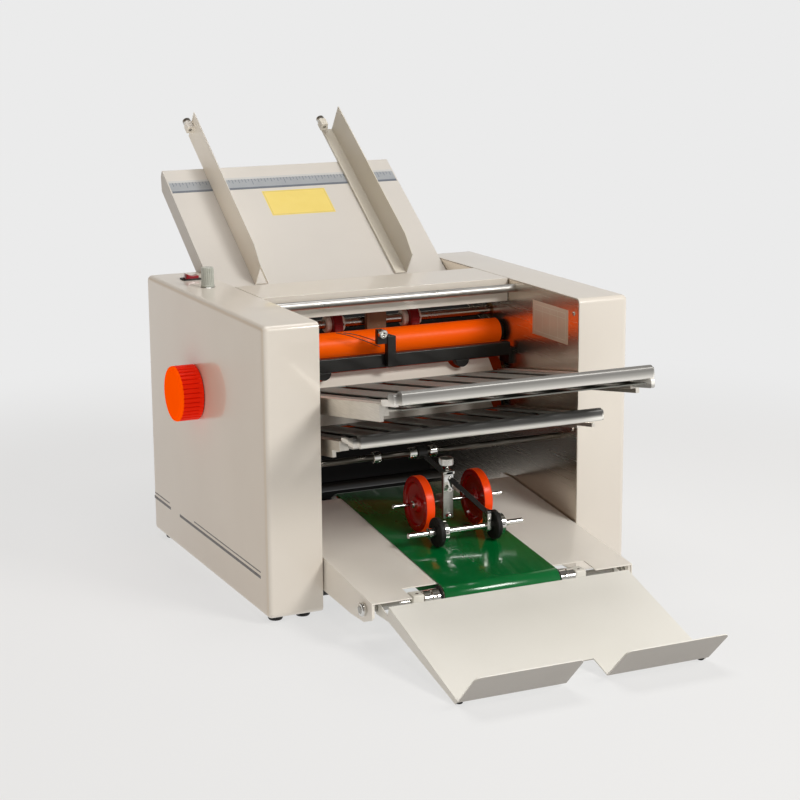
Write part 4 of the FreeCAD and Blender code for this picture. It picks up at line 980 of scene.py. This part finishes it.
def tray_ruler():
    """A graduated strip across the tray: pale upper band, marks of three lengths, dark lower edge."""
    piece = Piece("tray_ruler")
    near = -49.6
    far = -24.0
    band = 4.0
    half = tray_half - 2
    for start, end, low, high, finish in ((near, far, 0.02, 0.25, ruler_ground),
            (near, near + band, 0.2, 0.3, ruler_ink), (far - band, far, 0.2, 0.3, ruler_pale)):
        piece.block((-half, start, low), (half, end, high), finish, place=FEED)
    pitch = 5.0
    top = far - band
    for step in range(-34, 35):
        length = 12.0 if step % 10 == 0 else 8.0 if step % 2 == 0 else 5.0
        x = step * pitch
        piece.block((x - 0.4, top - length, 0.2), (x + 0.4, top, 0.3), ruler_ink, place=FEED)
    piece.done()


tray_ruler()


def tray_label():
    """A plain yellow sticker with a faint border."""
    piece = Piece("tray_label")
    low = Vector((-43.0, -109.0))
    high = Vector((55.0, -56.0))
    margin = Vector((2.0, 2.0))
    piece.block((*low, 0.02), (*high, 0.16), label_yellow, place=FEED)
    low += margin
    high -= margin
    for start, end in ruled(low, high, (low.x, high.x), (low.y, high.y), 0.4):
        piece.block((*start, 0.12), (*end, 0.2), label_border, place=FEED)
    piece.done()


tray_label()


def guide_screw(side):
    """A knurled clamp screw at the top end of a side guide."""
    name = side + "_guide_screw"
    joint = name + "_turn"
    piece = Piece(name + "_knurled", joint_place(joint), joint_of[joint]["axis"])
    head = [(7.3, 0), (7.3, 4.6), (7.9, 5.4), (8.4, 6.0), *wall(8.4, 13.8, 6.0, 4),
        (14.4, 5.5), (15.0, 4.4), (15.0, 3.0), (14.2, 2.6), (14.2, 0)]
    piece.turned(head, chrome, steps=96, shape=fluted(24, 0.5, 8.5, 13.9, 6.0))
    piece.turned(rod(-6, 8, 2.5, 0.4), turned_steel, steps=32)
    piece.done(name)


for side in ("left", "right"):
    guide_screw(side)

# --- Fold plates -------------------------------------------------------------------------------


def slat_finish(face):
    """The raised lip at the mouth is brighter than the slats."""
    return lip_steel if face.normal.y < -0.4 and face.normal.z > 0.2 else None


def bar_painted_reflection(node, bands):
    """Brushed tube with a painted reflection: its tone changes across its height in bands, from its top to its
    foot, that stand in for the light and shade a round tube reflects.
    """
    made = Finish(node + "_brushed_painted_reflection", Metallic=0.3)
    corners = [corner.co for corner in nodes[node].data.vertices]
    front = min(corner.y for corner in corners) + 4 * MM
    heights = [corner.z for corner in corners if corner.y < front]
    height = made.node("SeparateXYZ", made.place).outputs["Z"]
    painted_reflection_ramp = made.node("ValToRGB", made.ranged(height, 0.0, 1.0, max(heights), min(heights)))
    spots = painted_reflection_ramp.color_ramp.elements
    while len(spots) < len(bands):
        spots.new(0.5)
    for spot, (share, tone) in zip(spots, bands):
        spot.position = share
        spot.color = rgb(tone, tone * 0.99, tone * 0.965)
    lines = made.noise((3, 900, 900), 3.0, 0.7)
    brushed = made.ranged(lines, 0.0, 0.12)
    colour = made.blended(brushed, painted_reflection_ramp.outputs["Color"], rgb(90, 88, 84))
    return made.finished(colour, made.ranged(lines, 0.3, 0.42), lines, 0.001)


# Tones across each bar's height, top to foot: a painted reflection of bright and dark surroundings, with a painted
# highlight near the foot.
bar_reflection_bands = {
    "upper": ((0.0, 132), (0.22, 126), (0.38, 165), (0.5, 214), (0.62, 250), (0.9, 255), (1.0, 190)),
    "lower": ((0.0, 80), (0.38, 76), (0.48, 110), (0.58, 190), (0.68, 252), (0.9, 240), (1.0, 160))}
for name, bands in bar_reflection_bands.items():
    bar = name + "_plate_bar"
    clad(name + "_plate_rails", 0.4, rail_steel)
    clad(name + "_plate_slats", 0.3, satin_steel, slat_finish)
    clad(bar, 0.3, bar_painted_reflection(bar, bands))
    clad(name + "_plate_stop", 0.3)
for number in (1, 2):
    clad("rear_fold_plate_%d" % number, 0.3)

# --- Delivery ----------------------------------------------------------------------------------


def flap_painted_shade(face):
    """The turned-up ends and the undersides of the stack tray take a darker copy of its paint: painted shade, as
    they face away from the light.
    """
    return flap_shade_paint if face.normal.z < 0.2 and face.normal.y < -0.3 else None


clad("delivery_deck", 0.4, deck_paint)
clad("stack_tray", 0.4, stack_paint, flap_painted_shade)


def tray_bumpers():
    """Two small rubber bumpers under the stack tray's front corners."""
    piece = Piece("tray_bumpers", way=DOWNWARDS)
    low, high = extent("stack_tray")
    bumper = [(0, 0), (0, 3.4), (2.6, 4.0), (3.4, 3.4), (3.4, 0)]
    for side in SIDES:
        piece.turned(bumper, black_rubber, (side * (high.x - 5.5), -325.0, low.z + 3.6), steps=24)
    piece.done(body="stack_tray")


tray_bumpers()

belt_front = axis_of("front_belt_roller_spin")
belt_rear = axis_of("rear_belt_roller_spin")
belt_half = extent("conveyor_belt")[1].x


def conveyor_belt():
    """The endless green belt, with rounded edges."""
    piece = Piece("conveyor_belt_welded")
    run = belt_rear - belt_front
    inner = 14.3
    thick = 1.6
    steps = 40
    part = bmesh.new()
    rims = []
    for radius in (inner + thick, inner):
        outline = arc((run.length, 0), radius, 90, -90, steps) + arc((0, 0), radius, -90, -270, steps)
        line = [part.verts.new((-belt_half, y, z)) for y, z in outline]
        rims += [part.edges.new(pair) for pair in zip(line, line[1:] + line[:1])]
    bmesh.ops.bridge_loops(part, edges=rims)
    draw_out(part, (2 * belt_half, 0, 0))
    piece.take(part, green_belt, leaning(belt_front, math.atan2(run.z, run.y)), 0.4)
    piece.done("conveyor_belt")


conveyor_belt()


def front_belt_roller():
    """The front belt roller: black flanges, bright collars with grub screws, dark axle."""
    piece = Piece("front_belt_roller_turned", belt_front)
    axle = 5.0
    piece.turned(rod(-belt_half - 0.5, belt_half + 0.5, 14.0, 0.4), turned_steel)
    piece.turned(rod_of("front_belt_roller", axle, 0.5), dark_steel, steps=40)
    for side in SIDES:
        for start, end, outer, chamfer, finish in ((0.6, 3.0, 13.9, 0.5, black_rubber),
                (3.0, 14.0, 12.0, 1.0, chrome), (14.0, 24.4, 11.6, 0.8, chrome)):
            places = span(side, belt_half + start, belt_half + end)
            piece.turned(ring(*places, axle, outer, chamfer), finish)
        for degrees in (35, 125):
            angle = math.radians(degrees)
            way = Vector((0, -math.cos(angle), math.sin(angle)))
            foot = belt_front + Vector((side * (belt_half + 8.8), 0, 0)) + way * 11.7
            piece.screw(foot, way, 1.9, dark_steel, 0.6)
    piece.done("front_belt_roller")


front_belt_roller()


def belt_end_blocks():
    """White moulded bearing blocks, each with a pinch screw and a bearing bush."""
    piece = Piece("belt_end_blocks_moulded")
    round_corner = 3
    flat = 9.4 - round_corner
    middle_y = belt_front.y
    middle_z = belt_front.z + 0.5
    outline = []
    for y, z, turn in ((1, 1, 0), (-1, 1, 90), (-1, -1, 180), (1, -1, 270)):
        centre = (middle_y + y * flat, middle_z + z * flat)
        outline += arc(centre, round_corner, turn, turn + 90, 4)
    for side in SIDES:
        middle = side * 110.0
        piece.prism(outline, middle - 7.0, middle + 7.0, white_plastic, 0.7)
        piece.screw((middle, belt_front.y - 3.5, belt_front.z + 9.9), UPWARDS, 2.2, chrome, 0.9)
        bush = ring(-7.6, 7.6, 5.1, 7.2, 0.5)
        piece.turned(bush, white_plastic, (middle, *belt_front.yz), steps=40)
    piece.done("belt_end_blocks")


belt_end_blocks()


def deck_fasteners():
    """The front studs with their nuts and washers, and the bolts that hold the deck."""
    piece = Piece("deck_fasteners_turned", belt_front)
    high = extent("deck_fasteners")[1]
    face = 176.0
    for side in SIDES:
        way = (side, 0, 0)
        stud = rod(*span(side, 115.0, high.x - 0.4), 5.0, 0.6)
        piece.turned(stud, turned_steel, steps=40)
        piece.turned(rod(face - 2.6, face - 1.6, 8.6, 0.2), turned_steel, way=way, steps=40)
        piece.hex_nut(face - 7.4, face - 2.6, belt_front, 15.0, chrome, way)
        piece.hex_nut(face + 0.1, face + 5.9, belt_front, 15.0, chrome, way)
        for bolt in ((0, 60.0, 44.0), (0, 150.0, 52.0)):
            piece.turned(rod(face, throat_half, 7.0, 0.3), turned_steel, bolt, way, 40)
            piece.hex_nut(face - 5.5, face - 1.5, bolt, 10.0, chrome, way)
    piece.done("deck_fasteners")


deck_fasteners()

# --- Press rollers -----------------------------------------------------------------------------

press_axle = axis_of("press_wheels_spin")
press_shaft = axis_of("press_shaft_spin")
axle_radius = 2.6
press_shaft_radius = 3.7
wheel_middles = (-30.0, 51.0)
disc_starts = (-34.0, 45.0)
disc_width = 7.0
post_x = 3.0
FORWARDS_AND_UP = (0, -0.7071, 0.7071)


def tread_finish(face):
    """Orange round the rim and red on the flat sides; the drawing's X is along the axle."""
    return wheel_web if abs(face.normal.x) > 0.5 else wheel_tread


def press_wheels():
    """Two dished wheels with soft orange treads."""
    piece = Piece("press_wheels_dished")
    radius = 35.7
    half = 6.0
    corner = 1.4
    right_side = [(half, 32.4), (half, 28.2), (half - 0.4, 27.6), (3.0, 26.6), (2.4, 25.0),
        (2.4, 12.4), (2.6, 11.0), (half - 0.8, 9.8), (half, 9.0), (half, axle_radius)]
    left_side = [(-along, reach) for along, reach in reversed(right_side)]
    web = left_side + right_side + left_side[:1]
    tread = [(-half, 32.3), *arc((corner - half, radius - corner), corner, 180, 90, 5),
        *arc((half - corner, radius - corner), corner, 90, 0, 5), (half, 32.3)]
    for middle in wheel_middles:
        at = (middle, *press_axle.yz)
        piece.turned(web, wheel_web, at, steps=96)
        piece.turned(tread, wheel_tread, at, steps=96, choose=tread_finish)
    piece.done("press_wheels")


def press_wheel_axle():
    """The wheels' thin axle, with a collar on each side of each wheel."""
    axle = Piece("press_axle_polished", press_axle)
    axle.turned(rod_of("press_axle", axle_radius, 0.5), chrome, steps=40)
    for middle in wheel_middles:
        for side in SIDES:
            start, end = span(side, 6.05, 9.0)
            axle.turned(ring(middle + start, middle + end, axle_radius, 4.6), chrome, steps=40)
    axle.done("press_axle")


press_wheels()
press_wheel_axle()


def press_front_shaft():
    """The front shaft with its clamped hubs and a collar."""
    shaft = Piece("press_shaft_polished", press_shaft)
    y, z = press_shaft.yz
    bore = press_shaft_radius
    shaft.turned(rod_of("press_shaft", bore, 0.8), chrome, steps=48)
    for start in disc_starts:
        hub = start + disc_width
        outline = [(hub, bore), (hub, 13.0), (hub + 0.5, 13.5), (hub + 7.2, 13.5), (hub + 8, 12.6),
            (hub + 8, 6.0), (hub + 10.6, 6.0), (hub + 11, 5.6), (hub + 11, bore)]
        shaft.turned(outline, chrome, steps=64)
        shaft.screw((hub + 4, y - 13.2, z + 1.5), FORWARDS, 1.9, dark_steel, 0.2)
    left = disc_starts[0]
    shaft.turned(ring(left - 10, left - 0.1, bore, 6.5, 0.8), turned_steel, steps=48)
    shaft.screw((left - 5, y - 4.5, z + 4.5), FORWARDS_AND_UP, 1.7, dark_steel, 0.5)
    shaft.done("press_shaft")


def press_discs():
    """The two black discs on the front shaft, each dished on its right."""
    discs = Piece("press_discs_moulded", press_shaft)
    outer = 18.7
    bore = press_shaft_radius
    for start in disc_starts:
        end = start + disc_width
        outline = [(start, bore), *rod(start, end, outer, 1.0)[1:-1], (end, 12.0), (end - 0.8, 11.0),
            (end - 0.8, bore), (start, bore)]
        discs.turned(outline, black_rubber, steps=96)
    discs.done("press_discs")


press_front_shaft()
press_discs()


def press_post():
    """The upright between the wheels: a satin strap, its clamp plate, boss, shelf and screws."""
    piece = Piece("press_post_milled")
    y, z = press_axle.yz
    face = y - 17.0
    left = post_x - 7.0
    right = post_x + 7.0
    foot = z - 19.0
    head = z + 41.5
    strap, clamp = bar_aluminium, chrome_along_z
    piece.block((left, face, foot), (right, face + 5, head), strap, 0.6)
    piece.block((left + 0.6, face - 1.4, head - 24), (right - 0.6, face + 0.4, head - 3), clamp, 0.5)
    piece.block((left, face + 4.8, z - 8), (right, y + 7, z + 8), strap, 1.2, 3)
    piece.block((post_x - 3, face, head - 4), (right + 2, y + 3, head), clamp, 0.7)
    piece.block((left, face - 0.5, z + 16), (right, face + 0.2, z + 18), clamp, 0.2)
    ball = arc((0, 0), 4.2, 180, 0, 12)
    piece.turned(ball, clamp, (post_x, face - 1.5, foot + 4), FORWARDS, 32)
    piece.screw((post_x + 2.5, face - 1.3, head - 8), FORWARDS, 3.0, clamp, 1.6)
    piece.done("press_post")


press_post()


def arm_finish(face):
    """The clamp at the arm's lower end is bright."""
    low_down = in_machine(face.calc_center_median()).z < press_shaft.z + 15
    return bright_steel if low_down else None


clad("press_arm", 0.3, black_paint, arm_finish)


def arm_bolts():
    """The bright bolt heads that hold the arm to the post and to the shaft's clamp."""
    piece = Piece("arm_bolts")
    post_face = extent("press_post")[0].y
    on_post = (2.0, post_face + 0.05, press_axle.z + 20.0)
    on_clamp = (38.5, press_shaft.y - 7.0, press_shaft.z + 9.0)
    piece.screw(on_post, FORWARDS, 3.4, bright_steel, 0.1)
    piece.screw(on_clamp, FORWARDS, 2.3, bright_steel, 1.4)
    piece.done(body="press_arm")


arm_bolts()


def thumb_screw():
    """The knurled screw on top of the post."""
    piece = Piece("thumb_screw_knurled", joint_place("thumb_screw_turn"), UPWARDS)
    outline = [(-5, 0), (-5, 2.5), (0.3, 2.5), (0.3, 4.5), (5.3, 5.8), (5.3, 8.4), (6.2, 9.5),
        *wall(6.2, 14.2, 9.5, 4), (15.0, 8.6), (15.3, 7.8), (15.3, 5.0), (14.6, 4.4), (14.6, 0)]
    piece.turned(outline, bright_steel, steps=160, shape=fluted(40, 0.55, 6.3, 14.1, 9.5))
    piece.done("thumb_screw")


thumb_screw()


def press_rod():
    """The rod that carries the press arm, with its clamped collars."""
    low, high = extent("press_rod")
    y, z = ((low + high) / 2).yz
    piece = Piece("press_rod_turned", (0, y, z))
    radius = 4.0
    piece.turned(rod_of("press_rod", radius, 0.3), dark_steel, steps=40)
    for x in (-84, -34, -6):
        piece.turned(ring(x - 5, x + 5, radius, 7.0, 0.8), chrome, steps=48)
        piece.screw((x, y - 4.9, z + 4.9), FORWARDS_AND_UP, 1.8, dark_steel, 0.5)
    piece.done("press_rod")


press_rod()

# --- CAD nodes that stay as they are -----------------------------------------------------------

carried_finish = {"tie_bars": black_paint}

for name, carried in nodes.items():
    if carried.hide_render:
        continue
    carried.data.materials.clear()
    carried.data.materials.append(carried_finish.get(name, slot_finish[slot_of[name]]))

# --- Floor, light and camera -------------------------------------------------------------------

backdrop = rgb(235, 235, 235)
floor_tone = rgb(240, 239, 237)


def floor():
    """A pale floor that takes shadows near the machine and fades to an even tone far away."""
    ground = bmesh.new()
    bmesh.ops.create_circle(ground, cap_ends=True, cap_tris=True, segments=96, radius=40.0)
    mesh = bpy.data.meshes.new("floor")
    ground.to_mesh(mesh)
    ground.free()
    made = bpy.data.objects.new("floor", mesh)
    bpy.context.scene.collection.objects.link(made)
    material = bpy.data.materials.new("floor_pale")
    material.use_nodes = True
    mesh.materials.append(material)
    shading = Shading(material.node_tree)
    shading.tree.nodes.clear()
    far = shading.node("Emission", Color=backdrop, Strength=1.0).outputs["Emission"]
    lit = shading.node("BsdfDiffuse", Color=floor_tone).outputs["BSDF"]
    near = shading.node("MixShader", 0.26, far, lit).outputs["Shader"]
    distance = shading.node("VectorMath", shading.node("TexCoord").outputs["Object"])
    distance.operation = "LENGTH"
    fade = shading.node("MapRange", Value=distance.outputs["Value"], From_Min=0.75, From_Max=1.5)
    fade.interpolation_type = "SMOOTHSTEP"
    both = shading.node("MixShader", fade.outputs["Result"], near, far)
    shading.node("OutputMaterial", both.outputs["Shader"])


floor()


def soft_box(name, place, target, width, height, watts, tint=(1.0, 1.0, 1.0)):
    """A large rectangular lamp."""
    lamp = bpy.data.lights.new(name, "AREA")
    lamp.shape = "RECTANGLE"
    lamp.size = width
    lamp.size_y = height
    lamp.energy = watts
    lamp.color = tint
    made = bpy.data.objects.new(name, lamp)
    made.location = place
    made.rotation_euler = (Vector(target) - Vector(place)).to_track_quat("-Z", "Y").to_euler()
    bpy.context.scene.collection.objects.link(made)


soft_box("key", (1.05, -2.05, 1.7), (0.0, 0.0, 0.15), 0.8, 0.6, 41, (1.0, 0.985, 0.96))
soft_box("overhead", (0.0, 0.2, 2.6), (0.0, 0.1, 0.2), 1.6, 1.2, 26)
soft_box("front_fill", (-0.9, -2.6, 0.7), (0.0, 0.0, 0.2), 1.4, 1.0, 3)
soft_box("left_fill", (-2.0, -0.9, 1.5), (0.0, 0.3, 0.4), 1.2, 1.0, 3, (1.0, 0.94, 0.86))


def sky():
    """Even studio light: pale at the horizon, darker overhead, and darker and warmer on the
    machine's left. Seen directly it is plain and pale."""
    world = bpy.data.worlds.new("studio")
    world.use_nodes = True
    shading = Shading(world.node_tree)
    light, out = shading.tree.nodes["Background"], shading.tree.nodes["World Output"]
    way = shading.node("SeparateXYZ", shading.node("TexCoord").outputs["Generated"])
    height = shading.ranged(way.outputs["Z"], 0.0, 1.0, 0.02, 0.75)
    across = shading.ranged(way.outputs["X"], 0.0, 1.0, -0.9, 0.5)
    dimming = shading.blended(height, rgb(234, 234, 234), rgb(126, 122, 117))
    warmth = shading.blended(across, rgb(182, 157, 127), rgb(255, 255, 255))
    shading.fill(light, Color=shading.blended(1.0, dimming, warmth, "MULTIPLY"), Strength=0.85)
    plain = shading.node("Background", Color=backdrop).outputs["Background"]
    seen = shading.node("LightPath").outputs["Is Camera Ray"]
    both = shading.node("MixShader", seen, light.outputs["Background"], plain)
    shading.fill(out, Surface=both.outputs["Shader"])
    bpy.context.scene.world = world


sky()
bpy.context.scene.view_settings.view_transform = "Standard"


def camera():
    """A long lens from the front left, a little above the machine."""
    azimuth = math.radians(-24.97)
    elevation = math.radians(12.67)
    roll = math.radians(-0.37)
    distance = 2.38693
    target = MACHINE @ Vector((-72.67, 0.0, 255.82))
    level = Vector((math.sin(azimuth), -math.cos(azimuth), 0.0)) * math.cos(elevation)
    back = level + Vector((0.0, 0.0, math.sin(elevation)))
    lens = bpy.data.cameras.new("camera")
    lens.lens = 88.01
    lens.sensor_width = 36.0
    lens.clip_start = 0.05
    lens.clip_end = 100.0
    made = bpy.data.objects.new("camera", lens)
    made.location = target + back * distance
    turn = (-back).to_track_quat("-Z", "Y").to_matrix() @ Matrix.Rotation(roll, 3, "Z")
    made.rotation_euler = turn.to_euler()
    bpy.context.scene.collection.objects.link(made)
    bpy.context.scene.camera = made


camera()
